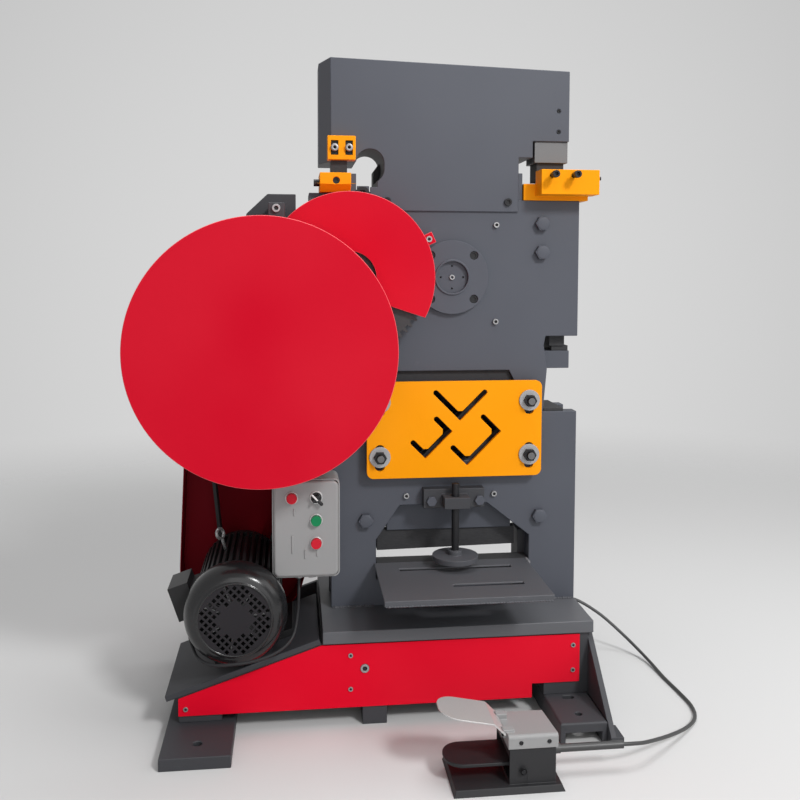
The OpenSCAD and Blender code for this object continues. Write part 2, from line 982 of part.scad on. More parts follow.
module slide() {
    z_block = crank_z + crank_e;
    win_x = block_half + crank_e + slide_gap;
    win_z = block_half_z + stroke + slide_gap;
    color("dimgray") difference() {
        union() {
            difference() {
                face(-head_proud, slide_back) polygon([
                    [-head_left, shelf_z + head_h], [head_right, shelf_z + head_h - head_drop],
                    [head_right, pocket_z], [pocket_x, pocket_z], [pocket_x, shelf_z + roof_h],
                    [throat_right, shelf_z + roof_h], [throat_right, core_low], [-throat_left, core_low],
                    [-throat_left, shelf_z + roof_left_h], [-head_left, shelf_z + roof_left_h]
                ]);
                linear_extrude(shelf_z + head_h + over) polygon([
                    [-head_left - over, -head_proud - over], [-plate_left, -head_proud - over],
                    [-plate_left, -head_proud], [-head_left, head_flare_d - head_proud],
                    [-head_left - over, head_flare_d - head_proud]
                ]);
                for (h = [key_low_h, key_high_h])
                    rod_y(-key_x, shelf_z + h, key_r, -head_proud - over, slide_back + over);
                bar(-key_x - key_r, key_r - key_x, -head_proud - over, slide_back + over,
                    shelf_z + key_low_h, shelf_z + key_high_h);
                bar(-throat_left - over, -key_neck, -head_proud - over, slide_back + over,
                    core_low - over, shelf_z + key_low_h);
            }
            face(key_fill_y, slide_back) polygon([
                [key_r - key_x + over, core_low], [key_r - key_x + over, shelf_z + key_fill_h[1]],
                [-key_neck, shelf_z + key_fill_h[0]], [-key_neck, core_low]
            ]);
            front_and_back()
                bar(-key_x, throat_right, -head_proud, -skirt_gap, skirt_low, core_low + over);
            face(stem_front, stem_back) polygon([
                [-stem_half, core_low + over], [stem_half, core_low + over], [stem_half, stem_step_z],
                [stem_low_right, stem_step_z], [stem_low_right, tail_z], [-stem_low_left, tail_z],
                [-stem_low_left, stem_step_z], [-stem_half, stem_step_z]
            ]);
        }
        bar(-win_x, win_x, stem_front - over, stem_back + over, z_block - win_z, z_block + win_z);
        bar(-blade_left, blade_right, stem_front - over, stem_back + over, blade_low, blade_top);
        for (h = set_screw_h)
            rod_y(set_screw_x, shelf_z + h, set_screw_r + ease, -head_proud - over, set_screw_r * 2);
        for (x = skirt_screw_x)
            rod_y(x, skirt_low + skirt_screw_up, skirt_screw_r / 2 + ease, -head_proud - over, 0);
        for (x = top_screw_in)
            rod_y(x - top_left_x, shelf_z + roof_left_h + top_left_h / 2, top_shank_r + ease,
                -head_proud - over, top_shank_l);
    }
}

module slide_screws() {
    color("black") {
        for (h = set_screw_h) difference() {
            rod_y(set_screw_x, shelf_z + h, set_screw_r, -head_proud, set_screw_r);
            hex_y(set_screw_x, shelf_z + h, set_screw_r, -head_proud - over, -head_proud / 2);
        }
        for (x = skirt_screw_x)
            cap_screw(x, skirt_low + skirt_screw_up, -head_proud - skirt_screw_h, skirt_screw_r, skirt_screw_h,
                skirt_screw_r / 2, head_proud - skirt_gap);
        for (x = top_screw_in)
            cap_screw(x - top_left_x, shelf_z + roof_left_h + top_left_h / 2,
                -head_proud - top_left_d + over, top_screw_r, top_slot_d - over, top_shank_r,
                top_left_d - top_slot_d + top_shank_l);
    }
}

module punch_holder() {
    color("gray")
        bar(pocket_x + holder_in, pocket_x + holder_in + holder_w, 0, holder_d, pocket_z - holder_h, pocket_z);
}

module upper_holder() {
    y = -head_proud - top_left_d;
    z = shelf_z + roof_left_h;
    color("gold") difference() {
        bar(-top_left_x, top_left_w - top_left_x, y, -head_proud, z, z + top_left_h);
        for (x = top_screw_in) {
            bar(x - top_left_x - top_slot_half, x - top_left_x + top_slot_half, y - over, y + top_slot_d,
                z + top_left_h / 2 - top_slot_l, z + top_left_h / 2 + top_slot_l);
            rod_y(x - top_left_x, z + top_left_h / 2, top_shank_r + ease, y, over);
        }
        rod_x(y + top_left_d / 2, z + top_left_h / 2, top_hole_r, -top_left_x - over, top_hole_d / 2 - top_left_x);
    }
}

// The shapes of angle and channel sections that the section blades cut
module leg(l) {
    translate([-cut_w / 2, -cut_w / 2]) square([l + cut_w / 2, cut_w]);
    translate([l, 0]) circle(cut_w / 2);
}
module section_cuts() {
    f = cut_w + cut_fillet;
    translate(angle_at) rotate(45) {
        leg(angle_leg);
        rotate(90) leg(angle_leg);
        polygon([[0, 0], [f, 0], [0, f]]);
    }
    for (c = [[small_at, small_web, small_flange], [large_at, large_web, large_flange]])
        translate(c[0]) rotate(45) {
            leg(c[1]);
            for (x = [0, c[1]]) translate([x, 0]) rotate(90) leg(c[2]);
            polygon([[0, 0], [f, 0], [0, f]]);
            polygon([[c[1], 0], [c[1], f], [c[1] - f, 0]]);
        }
}

module slide_blades() {
    notch_x = pocket_x + notch_in;
    color("dimgray") {
        bar(notch_x, notch_x + notch_w, notch_y, notch_y + notch_d, pocket_z - holder_h - notch_reach,
            pocket_z - holder_h);
        bar(-punch_left, punch_w - punch_left, -punch_half_d, punch_half_d, shelf_z + roof_left_h - punch_h,
            shelf_z + roof_left_h);
        face(mid_y - blade_t / 2, mid_y + blade_t / 2) difference() {
            translate([-blade_left, blade_low]) square([blade_left + blade_right, blade_top - blade_low]);
            section_cuts();
        }
        face(shear_line, shear_line + shear_blade_t) polygon([
            [-shear_blade_left, tail_z], [-shear_blade_left, table_z + shear_open],
            [shear_blade_right, table_z + shear_open + shear_rake], [shear_blade_right, tail_z]
        ]);
    }
}

// Fixed tools

module die_holder() {
    notch_x = pocket_x + notch_in;
    top = shelf_z + die_block_low + die_block_h;
    color("gold") difference() {
        union() {
            bar(die_left, die_right, -die_lap, die_back, shelf_z, shelf_z + die_base_h);
            bar(die_block_x, die_block_x + die_block_w, -die_front_y, -die_lap + over, shelf_z + die_block_low, top);
        }
        bar(notch_x - die_clear, notch_x + notch_w + die_clear, notch_y - die_clear,
            notch_y + notch_d + die_clear, shelf_z - over, shelf_z + die_base_h + over);
        for (x = die_screw_x)
            rod_y(x, top - die_screw_down, die_screw_r + ease, -die_front_y - over, -die_lap - die_screw_r);
    }
}

module holder_screws() {
    top = shelf_z + die_block_low + die_block_h;
    low_z = shelf_z + notch_shelf_t;
    color("black") {
        for (x = die_screw_x)
            cap_screw(x, top - die_screw_down, -die_front_y - die_screw_out, die_screw_head_r, die_screw_head,
                die_screw_r, die_screw_out - die_screw_head + die_front_y / 2);
        cap_screw(low_screw_in - low_left_x, low_z + low_screw_up, low_screw_d / 2 - low_left_front,
            low_screw_r - ease, low_screw_d / 2, low_screw_r / 2, low_screw_d / 2);
        rod_x(-low_bolt_y, low_z + low_bolt_up, low_screw_r, -low_left_x - low_bolt_l, -low_left_x);
        rod_x(-die_end_y, top - die_end_down, set_screw_r, die_block_x + die_block_w,
            die_block_x + die_block_w + die_end_l);
        cap_screw(dome_x, shelf_z + dome_up, -notch_shelf_front - dome_h, dome_r, dome_h, dome_r / 3, over);
        front_and_back() for (p = flange_places)
            cap_screw(p[0], p[1], flange_screw_sink / 2 - flange_t, flange_screw_r, flange_screw_sink / 2,
                flange_screw_r / 2, plate_t / 2);
    }
}

module notch_shelf() {
    color("dimgray") {
        bar(-notch_shelf_left, -throat_left - stop_gap, -notch_shelf_front, notch_shelf_back, shelf_z,
            shelf_z + notch_shelf_t);
        bar(low_left_w - low_left_x, low_left_w - low_left_x + left_stop_w, -notch_shelf_front, low_left_back,
            shelf_z + notch_shelf_t - over, shelf_z + notch_shelf_t + left_stop_h);
        bar(throat_right + stop_gap, throat_right + stop_gap + stop_w, stop_front, stop_back, shelf_z,
            shelf_z + stop_h);
        difference() {
            bar(-throat_left, -lug_right, -notch_shelf_front, 0, shelf_z - lug_drop, shelf_z + lug_rise);
            rod_y(dome_x, shelf_z + dome_up, dome_r / 3 + ease, -notch_shelf_front - over, over);
        }
    }
}

module lower_holder() {
    z = shelf_z + notch_shelf_t;
    color("gold") difference() {
        side(-low_left_x, low_left_w - low_left_x) polygon([
            [-low_left_front, z + low_left_cut], [low_left_cut - low_left_front, z], [low_left_back, z],
            [low_left_back, z + low_left_h], [-low_left_front, z + low_left_h]
        ]);
        bar(-punch_left - die_clear, punch_w - punch_left + die_clear, -punch_half_d - die_clear,
            punch_half_d + die_clear, z - over, z + low_left_h + over);
        rod_y(low_screw_in - low_left_x, z + low_screw_up, low_screw_r, -low_left_front - over,
            low_screw_d - low_left_front);
        rod_y(low_screw_in - low_left_x, z + low_screw_up, low_screw_r / 2 + ease, -low_left_front - over,
            low_screw_d * 2 - low_left_front);
    }
}

module bar_block() {
    color("gray")
        bar(bar_left, bar_left + bar_w, bar_front, bar_back, bar_low, bar_low + bar_h);
}

module fixed_blades() {
    bar_top = bar_low + bar_h;
    color("dimgray") {
        face(plate_t - fixed_blade_t, plate_t) difference() {
            window_outline();
            section_cuts();
        }
        bar(low_blade_in - shear_left, shear_right - low_blade_in, low_blade_y, shear_line - low_blade_gap, bed_z,
            table_z);
        bar(bar_left + bar_blade_in, bar_left + bar_blade_in + bar_blade_w, bar_front + bar_step,
            bar_back - bar_step, bar_top, bar_top + bar_blade_h);
        bar(bar_left + bar_hang_in, bar_left + bar_hang_in + bar_hang_w, bar_front, bar_back, bar_top + bar_blade_h,
            notch_top);
        bar(bar_rest_x, bar_rest_x + bar_rest_w, bar_step, frame_depth - bar_step, notch_low,
            notch_low + bar_rest_t);
    }
}

// Section plate on its studs

module section_plate() {
    color("gold") face(-section_off - section_t, -section_off) difference() {
        rounded(-section_left, section_right, section_low, section_low + section_h, section_corner);
        section_cuts();
        for (p = stud_places) translate(p)
            rounded(-slot_half, slot_half, -slot_low - slot_half,
                slot_half + (p[1] < section_low + section_h / 2 ? slot_up : 0), slot_half - ease);
    }
}

module section_studs() {
    front = -section_off - section_t - ease;
    color("dimgray") for (p = stud_places) {
        rod_y(p[0], p[1], stud_r, -stud_l, plate_t / 2);
        difference() {
            union() {
                rod_y(p[0], p[1], washer_r, front - washer_t, front);
                hex_y(p[0], p[1], nut_af, front - washer_t - nut_h, front - washer_t);
                rod_y(p[0], p[1], spacer_r, ease - section_off, 0);
            }
            rod_y(p[0], p[1], stud_r + fit, -stud_l, over);
        }
    }
}

// Hood over the rear of the section station
module chute_hood() {
    color("dimgray") difference() {
        bar(chute_x[0], chute_x[1], frame_depth, frame_depth + chute_d, chute_z[0], chute_z[1]);
        bar(chute_x[0] + guard_t, chute_x[1] - guard_t, frame_depth - over, frame_depth + chute_d - guard_t,
            chute_z[0] - over, chute_z[1] - guard_t);
    }
}

// Hold-down, shear bed and table

module hold_down_bracket() {
    z = hold_low + hold_block_up;
    color("dimgray") difference() {
        union() {
            bar(-hold_left, hold_right, -hold_d, 0, hold_low, hold_low + hold_h);
            bar(-hold_block_left, hold_block_right, -hold_d - hold_block_d, over - hold_d, z, z + hold_block_h);
        }
        rod_z(hold_x, hold_y, hold_r + fit, z - over, z + hold_block_h + over);
        for (x = hold_bolt_x)
            rod_y(x, hold_low + hold_bolt_up, hold_bolt_r + ease, -hold_d - over, over);
    }
}

module hold_down_screw() {
    z = hold_pad_z + hold_pad_t;
    color("dimgray") {
        rod_z(hold_x, hold_y, pad_r, hold_pad_z, z);
        rod_z(hold_x, hold_y, hold_collar_r, z - over, z + hold_collar_h);
        rod_z(hold_x, hold_y, hold_r, z - over, hold_top);
    }
}

module shear_bed() {
    color("dimgray") {
        bar(-bed_left, bed_right, plate_t, frame_depth - plate_t, slab_top, bed_z);
        bar(bed_right - bed_cheek, bed_right, shear_line, frame_depth - plate_t, bed_z - over, shear_knee);
    }
}

module work_table() {
    z = table_z - table_t;
    color("dimgray") difference() {
        union() {
            bar(-table_left, table_right, -table_d, 0, z, table_z);
            bar(-table_left, table_right, -table_d, table_t - table_d, table_z - table_lip, table_z);
            for (x = [-table_rib_x, table_rib_x])
                side(x, x + table_rib_t)
                    polygon([[0, z + over], [-table_rib_d, z + over], [-table_rib_d, z], [0, z - table_rib_h]]);
        }
        for (s = table_slots)
            bar(s[0], s[1], s[2] - table_slot_w / 2, s[2] + table_slot_w / 2, z - over, table_z + over);
    }
}

// Drive

module bearing_outline() {
    polygon([
        [-plate_left, bracket_low], [-plate_left, bracket_flange_top], [-bracket_arm_x[0], bracket_arm_low],
        [-bracket_arm_x[0], bracket_top], [-bracket_arm_x[1], bracket_top],
        [-bracket_arm_x[2], bracket_top - bracket_cut], [-bracket_side_x, bracket_side_z[1]],
        [-fly_x - bracket_ear, fly_z + bracket_ear_h], [-fly_x - bracket_ear, fly_z - bracket_ear_h],
        [-bracket_side_x, bracket_side_z[0]], [-bracket_foot_x, bracket_low]
    ]);
}

module bearing_bracket() {
    y0 = bracket_y[0];
    y1 = bracket_y[1];
    color("dimgray") difference() {
        union() {
            face(y0, y0 + bracket_wall) bearing_outline();
            face(y1 - bracket_wall, y1) bearing_outline();
            bar(-plate_left - bracket_flange, -plate_left, y0, y1, bracket_low, bracket_flange_top);
            rod_y(-fly_x, fly_z, bracket_boss_r, y0, y1);
            bar(-lug_x - boss_half, boss_half - lug_x, guard_y[1] - lug_d, y0 + over, boss_low, boss_low + boss_h);
        }
        rod_y(-fly_x, fly_z, fly_shaft_r + fit, y0 - over, y1 + over);
        rod_y(-lug_x, boss_low + boss_screw_up, boss_screw_r / 2 + ease, guard_y[1] - lug_d - over,
            guard_y[1] + over);
    }
}

// Directions of the two gear meshes
mesh_front_a = atan2(counter_z - fly_z, counter_x + fly_x);
mesh_rear_a = atan2(crank_z - counter_z, -counter_x);

module flywheel_shaft() {
    color("silver") {
        rod_y(-fly_x, fly_z, fly_shaft_r, fly_shaft_front, shaft_back);
        difference() {
            translate([-fly_x, 0, fly_z]) face(front_gear_y[0] - over, front_gear_y[1] + over)
                polygon(gear_outline(fly_teeth, mesh_front_a));
            rod_y(-fly_x, fly_z, fly_shaft_r, fly_y[0], shaft_back);
        }
    }
}

module flywheel() {
    y0 = fly_y[0];
    y1 = fly_y[1];
    web = (y0 + y1) / 2;
    color("darkslategray") turned(-fly_x, fly_z, [
        [fly_shaft_r, y0], [fly_hub_r, y0], [fly_hub_r, web - fly_web / 2], [fly_r - fly_rim, web - fly_web / 2],
        [fly_r - fly_rim, y0], [fly_r, y0], [fly_r, y1], [fly_r - fly_rim, y1],
        [fly_r - fly_rim, web + fly_web / 2], [fly_hub_r, web + fly_web / 2], [fly_hub_r, y1], [fly_shaft_r, y1]
    ]);
}

// Belt grooves cut round a pulley
module grooved(x, z, r) {
    pitch = (pulley_y[1] - pulley_y[0]) / belt_count;
    difference() {
        children();
        for (k = [0:belt_count - 1]) {
            y = pulley_y[0] + pitch * (k + 0.5);
            turned(x, z, [
                [r - groove_d, y - groove_w / 2], [r + over, y - groove_w / 2],
                [r + over, y + groove_w / 2], [r - groove_d, y + groove_w / 2]
            ]);
        }
    }
}

module driven_pulley() {
    y0 = pulley_y[0];
    y1 = pulley_y[1];
    web = (y0 + y1) / 2;
    color("darkslategray") grooved(-fly_x, fly_z, pulley_r) turned(-fly_x, fly_z, [
        [fly_shaft_r, y0], [pulley_hub_r, y0], [pulley_hub_r, web - pulley_web / 2],
        [pulley_r - pulley_rim, web - pulley_web / 2], [pulley_r - pulley_rim, y0], [pulley_r, y0], [pulley_r, y1],
        [pulley_r - pulley_rim, y1], [pulley_r - pulley_rim, web + pulley_web / 2],
        [pulley_hub_r, web + pulley_web / 2], [pulley_hub_r, y1], [fly_shaft_r, y1]
    ]);
}

module drive_belts() {
    p = [-fly_x, fly_z];
    q = [motor_x, motor_z];
    pitch = (pulley_y[1] - pulley_y[0]) / belt_count;
    color("black") for (k = [0:belt_count - 1]) {
        y = pulley_y[0] + pitch * (k + 0.5);
        face(y - belt_w / 2, y + belt_w / 2) difference() {
            polygon(band_outline(p, pulley_r, q, motor_pulley_r));
            polygon(band_outline(p, pulley_r - belt_h, q, motor_pulley_r - belt_h));
        }
    }
}

module counter_shaft() {
    color("silver") {
        rod_y(counter_x, counter_z, counter_r, counter_front, counter_back);
        difference() {
            translate([counter_x, 0, counter_z]) face(rear_gear_y[0], rear_gear_y[1])
                polygon(gear_outline(rear_teeth, mesh_rear_a));
            rod_y(counter_x, counter_z, counter_r, counter_front, counter_back);
        }
    }
}

module counter_gear() {
    color("gray") difference() {
        union() {
            translate([counter_x, 0, counter_z]) face(front_gear_y[0], front_gear_y[1])
                polygon(gear_outline(counter_teeth, mesh_front_a + 180 + 180 / counter_teeth));
            rod_y(counter_x, counter_z, counter_hub_r, front_gear_y[0], front_gear_y[1] + counter_r);
        }
        rod_y(counter_x, counter_z, counter_r, counter_front - over, over);
    }
}

module bull_gear() {
    color("gray") difference() {
        translate([0, 0, crank_z]) face(rear_gear_y[0], rear_gear_y[1])
            polygon(gear_outline(bull_teeth, mesh_rear_a + 180 + 180 / bull_teeth));
        rod_y(0, crank_z, crank_tail_r + fit, rear_gear_y[0] - over, rear_gear_y[1] + over);
    }
}

module crank_shaft() {
    color("silver") difference() {
        union() {
            rod_y(0, crank_z, journal_r, -crank_end, frame_depth + flange_t - 2 * over);
            rod_y(0, crank_z + crank_e, eccentric_r, stem_front + over, stem_back - over);
            rod_y(0, crank_z, crank_tail_r, frame_depth, crank_tail_y);
            rod_y(0, crank_z, end_screw_r, -crank_end - end_screw_h, 0);
        }
        hex_y(0, crank_z, end_screw_r, -crank_end - end_screw_h - over, -crank_end);
        for (a = [0:90:270])
            rod_y(end_hole_off * cos(a), crank_z + end_hole_off * sin(a), end_hole_r, -crank_end - over, 0);
    }
}

module slide_block() {
    z = crank_z + crank_e;
    color("darkgoldenrod") difference() {
        bar(-block_half, block_half, stem_front + over, stem_back - over, z - block_half_z, z + block_half_z);
        rod_y(0, z, eccentric_r + fit, stem_front, stem_back);
    }
}

// Guards

module flywheel_guard() {
    y0 = guard_y[0];
    y1 = guard_y[1];
    r = guard_r - guard_t;
    lug_low = sqrt(r * r - (guard_x - lug_x + lug_half) * (guard_x - lug_x + lug_half));
    color("firebrick") {
        difference() {
            union() {
                rod_y(-guard_x, fly_z, guard_r, y0, y1);
                bar(-lug_x - lug_half, lug_half - lug_x, y1 - lug_d, y1, fly_z + lug_low, boss_low);
            }
            rod_y(-guard_x, fly_z, r, y0 + guard_t, y1 + over);
        }
    }
}

module gear_guard() {
    y0 = gear_guard_y[0];
    y1 = gear_guard_y[1];
    y = y1 - guard_t;
    color("firebrick") translate([gear_guard_at[0], 0, gear_guard_at[1]]) {
        difference() {
            rod_y(0, 0, gear_guard_r, y0, y1);
            rod_y(0, 0, gear_guard_r - guard_t, y0 + guard_t, y1 + over);
            rod_y(0, 0, gear_guard_hole, y0 - over, y1);
            rotate([0, -gear_guard_cut_a, 0]) bar(-2 * gear_guard_r, 2 * gear_guard_r, y0 - over, y1 + over,
                -2 * gear_guard_r, -gear_guard_cut);
        }
        rotate([0, -gear_tab_a, 0]) difference() {
            union() {
                bar(gear_guard_r - guard_t / 2, gear_tab_r + gear_tab_half, y - guard_t, y, -gear_tab_half,
                    gear_tab_half);
                rod_y(gear_tab_r, 0, gear_post_r, y - over, 0);
            }
            rod_y(gear_tab_r, 0, gear_tab_screw_r / 2 + ease, y0, over);
        }
    }
}

module belt_guard() {
    p = [-fly_x, fly_z];
    q = [motor_x, motor_z];
    color("maroon") {
        difference() {
            face(belt_guard_y[0], belt_guard_y[1]) polygon(band_outline(p, belt_guard_top, q, belt_guard_low));
            face(belt_guard_y[0] - over, belt_guard_y[1] - guard_t)
                polygon(band_outline(p, belt_guard_top - guard_t, q, belt_guard_low - guard_t));
        }
        for (a = stay_a)
            rod_y(-fly_x + (belt_guard_top - stay_r) * cos(a), fly_z + (belt_guard_top - stay_r) * sin(a), stay_r,
                bracket_y[1], belt_guard_y[0] + over);
        difference() {
            face(cover_y[0], cover_y[1])
                polygon(band_outline([0, crank_z], cover_r, [counter_x, counter_z], cover_pinion_r));
            face(cover_y[0] - over, cover_y[1] - guard_t)
                polygon(band_outline([0, crank_z], cover_r - guard_t, [counter_x, counter_z],
                    cover_pinion_r - guard_t));
            rod_y(0, crank_z, crank_tail_r + guard_t, cover_y[0], cover_y[1] + over);
        }
        for (a = cover_foot_a)
            rod_y((cover_r + cover_foot_r / 2) * cos(a), crank_z + (cover_r + cover_foot_r / 2) * sin(a),
                cover_foot_r, frame_depth, cover_y[0] + over);
    }
}

// Motor

module at_motor() {
    translate([motor_x, 0, motor_z]) rotate([0, -slope_a, 0]) children();
}

function fin_outline(n) = [
    for (i = [0:n - 1], k = [0:3])
        let (a = 360 / n * (i + (k < 2 ? -motor_fin_share : motor_fin_share)))
        let (r = (k == 0 || k == 3) ? motor_r : motor_r + motor_fin)
        [r * cos(a), r * sin(a)]
];

module motor_body() {
    eye_z = motor_r + motor_fin + eye_up;
    color("darkslategray") at_motor() {
        difference() {
            union() {
                face(motor_body_y[0], motor_body_y[1]) polygon(fin_outline(motor_fins));
                rod_y(0, 0, cowl_r, cowl_y[1], cowl_y[1] + motor_front_t);
                rod_y(0, 0, motor_shield_r, motor_body_y[1] - over, motor_shield_y);
                bar(-motor_foot_half, motor_foot_half, motor_foot_y[0], motor_foot_y[1], motor_lift - motor_h,
                    motor_foot_t - motor_h);
                bar(-motor_web_half, motor_web_half, motor_foot_y[0], motor_foot_y[1], motor_lift - motor_h,
                    -motor_r / 2);
                bar(term_x[0], term_x[1], term_y[0], term_y[1], term_z[0], term_z[1]);
                bar(term_x[1] - over, -motor_r / 2, term_y[0] + term_lid_t, term_y[1] - term_lid_t,
                    term_z[0] + term_lid_t, term_z[1] - motor_foot_t);
                rod_z(0, eye_y, eye_wire, motor_r, eye_z - eye_r);
                translate([0, eye_y, eye_z]) rotate([90, 0, eye_turn]) rotate_extrude()
                    translate([eye_r, 0]) circle(eye_wire);
            }
            rod_y(0, 0, motor_bore, motor_core_y[0] - motor_foot_t, motor_body_y[1] - motor_foot_t);
            rod_y(0, 0, motor_shaft_r + fit, cowl_y[1] - over, motor_shield_y + over);
        }
    }
}

module motor_cowl() {
    y0 = cowl_y[0];
    y1 = cowl_y[1];
    color("black") at_motor() {
        difference() {
            turned(0, 0, [[0, y0], [cowl_face_r, y0], [cowl_r, y0 + cowl_shoulder], [cowl_r, y1], [0, y1]]);
            turned(0, 0, [
                [0, y0 + cowl_t], [cowl_face_r - cowl_t, y0 + cowl_t], [cowl_r - cowl_t, y0 + cowl_shoulder],
                [cowl_r - cowl_t, y1 + over], [0, y1 + over]
            ]);
            for (i = [-grille_rows:grille_rows], k = [-grille_rows:grille_rows])
                if (norm([i, k]) * grille_pitch > grille_ring[0] && norm([i, k]) * grille_pitch < grille_ring[1])
                    rotate([0, 45 + slope_a, 0]) translate([i * grille_pitch, 0, k * grille_pitch])
                        bar(-grille_hole / 2, grille_hole / 2, y0 - over, y0 + 2 * cowl_t, -grille_hole / 2,
                            grille_hole / 2);
        }
    }
}

module motor_rotor() {
    color("silver") {
        at_motor() {
            rod_y(0, 0, motor_shaft_r, fan_y[0], pulley_y[1]);
            rod_y(0, 0, motor_core_r, motor_core_y[0], motor_core_y[1]);
            rod_y(0, 0, fan_hub_r, fan_y[0], fan_y[1]);
            for (k = [0:fan_blades - 1]) rotate([0, 360 * k / fan_blades, 0])
                bar(-fan_blade_t / 2, fan_blade_t / 2, fan_y[0], fan_y[1], fan_hub_r - over, fan_r);
        }
        grooved(motor_x, motor_z, motor_pulley_r)
            rod_y(motor_x, motor_z, motor_pulley_r, pulley_y[0], pulley_y[1] - over);
    }
}

// Control box with its lid, buttons and switch

box_left = -box_right - box_w;
button_z = box_low + box_h - button_top_in;
button_places = [
    [box_left + button_left_in, button_z], [box_left + button_right_in, button_z],
    [box_left + button_right_in, button_z - button_step], [box_left + button_right_in, button_z - 2 * button_step]
];

// A rectangle with round corners
module rounded(x0, x1, z0, z1, r) {
    translate([x0 + r, z0]) square([x1 - x0 - 2 * r, z1 - z0]);
    translate([x0, z0 + r]) square([x1 - x0, z1 - z0 - 2 * r]);
    for (x = [x0 + r, x1 - r], z = [z0 + r, z1 - r]) translate([x, z]) circle(r);
}

module control_box() {
    color("lightgray") difference() {
        union() {
            face(box_y[0], box_y[1]) rounded(box_left, -box_right, box_low, box_low + box_h, box_corner);
            bar(-box_right - lug_box_w, -box_right, box_y[1] - over, 0, lug_box_z[0], lug_box_z[1]);
        }
        face(box_y[0] - over, box_y[1] - box_wall) rounded(box_left + box_wall, -box_right - box_wall,
            box_low + box_wall, box_low + box_h - box_wall, box_corner - box_wall);
        for (x = gland_in)
            rod_z(box_left + x, gland_y, motor_cable_d / 2 + ease, box_low - over, box_low + box_wall + over);
    }
}

module control_lid() {
    y = box_y[0] - lid_t;
    color("lightgray") difference() {
        union() {
            face(y, box_y[0]) rounded(box_left + lid_in, -box_right - lid_in, box_low + lid_in,
                box_low + box_h - lid_in, box_corner);
            for (p = button_places) rod_y(p[0], p[1], bezel_r, y - bezel_h, y + over);
        }
        for (p = button_places) {
            rod_y(p[0], p[1], button_r + ease, y - bezel_h - over, y + button_throw);
            rod_y(p[0], p[1], button_stem_r + ease, y, box_y[0] + over);
        }
    }
}

module push_button(p) {
    y = box_y[0] - lid_t - bezel_h;
    rod_y(p[0], p[1], button_r, y - button_out, y + bezel_h - over);
    rod_y(p[0], p[1], button_stem_r, y, y + button_stem_l);
}

module lamp_button() {
    color("red") push_button(button_places[0]);
}

module green_button() {
    color("green") push_button(button_places[2]);
}

module stop_button() {
    color("red") push_button(button_places[3]);
}

module selector() {
    p = button_places[1];
    y = box_y[0] - lid_t - bezel_h;
    color("black") {
        rod_y(p[0], p[1], button_r, y - over, y + bezel_h);
        rod_y(p[0], p[1], button_stem_r, y, y + button_stem_l);
        translate([p[0], 0, p[1]]) rotate([0, 45, 0])
            bar(-knob_bar / 2, knob_bar / 2, y - knob_out, y, -button_r + over, button_r - over);
    }
}

module cable_glands() {
    color("silver") {
        for (x = gland_in) difference() {
            rod_z(box_left + x, gland_y, gland_r, box_low - gland_h, box_low);
            rod_z(box_left + x, gland_y, motor_cable_d / 2, box_low - gland_h - over, box_low + over);
        }
        rod_x(machine_gland_y, machine_gland_z, gland_r, rail_right + gusset_t,
            rail_right + gusset_t + machine_gland_l);
        rod_x(pedal_gland_y, pedal_gland_z, pedal_gland_r, foot_x[1], foot_x[1] + pedal_gland_l);
        rod_x(pedal_gland_y, pedal_gland_z, sleeve_cable_r, foot_x[1] + pedal_gland_l - over,
            foot_x[1] + pedal_gland_l + sleeve_l);
    }
}

module motor_cable() {
    color("black") tube(smooth(wire_route, route_steps), motor_cable_d / 2, ring_sides, [1, 0, 0]);
}

// Foot switch

// The tray's outside, with four flared skirts
module tray_block() {
    x0 = -tray_left;
    x1 = tray_l - tray_left;
    y0 = -tray_front;
    y1 = tray_w - tray_front;
    intersection() {
        face(y0, y1) polygon([[x0, 0], [x1, 0], [x1 - tray_flare, tray_h], [x0 + tray_flare, tray_h]]);
        side(x0, x1) polygon([[y0, 0], [y1, 0], [y1 - tray_flare, tray_h], [y0 + tray_flare, tray_h]]);
    }
}

module pedal_base() {
    color("dimgray") difference() {
        union() {
            difference() {
                tray_block();
                translate([0, 0, -tray_t]) tray_block();
            }
            bar(foot_x[0], foot_x[1], foot_y[0], foot_y[1], tray_h - over, foot_top);
        }
        bar(foot_x[0] + foot_wall, foot_x[1] - foot_wall, foot_y[0] + foot_wall, foot_y[1] - foot_wall,
            tray_h + foot_wall, foot_top + over);
        bar(foot_x[0] - over, foot_x[0] + foot_wall + over, foot_y[0] + foot_wall, foot_y[1] - foot_wall,
            foot_mouth_z[0], foot_mouth_z[1]);
        rod_y(treadle_pin_x, treadle_z, treadle_pin_r, foot_y[0] - over, foot_y[1] + over);
    }
}

module pedal_cover() {
    x0 = foot_x[0] - hood_lap;
    x1 = foot_x[1] + hood_lap;
    y0 = foot_y[0] - hood_lap;
    y1 = foot_y[1] + hood_lap;
    color("lightgray") {
        difference() {
            side(x0, x1) polygon([
                [y0, foot_top], [y1, foot_top], [y1, hood_back], [y0 + hood_cut, hood_top], [y0, hood_front]
            ]);
            side(x0 + hood_wall, x1 - hood_wall) polygon([
                [y0 + 2 * hood_wall, foot_top - over], [y1 - 2 * hood_wall, foot_top - over],
                [y1 - 2 * hood_wall, hood_back - hood_wall], [y0 + hood_cut + hood_wall, hood_top - hood_wall],
                [y0 + 2 * hood_wall, hood_front - hood_wall]
            ]);
        }
        for (k = [0, 2]) difference() {
            union() {
                rod_y(flap_x, flap_z, flap_r, knuckle_y[k], knuckle_y[k + 1]);
                bar(flap_x, flap_x + hinge_l, knuckle_y[k], knuckle_y[k + 1], hood_back, hood_top + hinge_up);
            }
            rod_y(flap_x, flap_z, flap_pin_r, knuckle_y[0] - over, knuckle_y[3] + over);
        }
    }
}

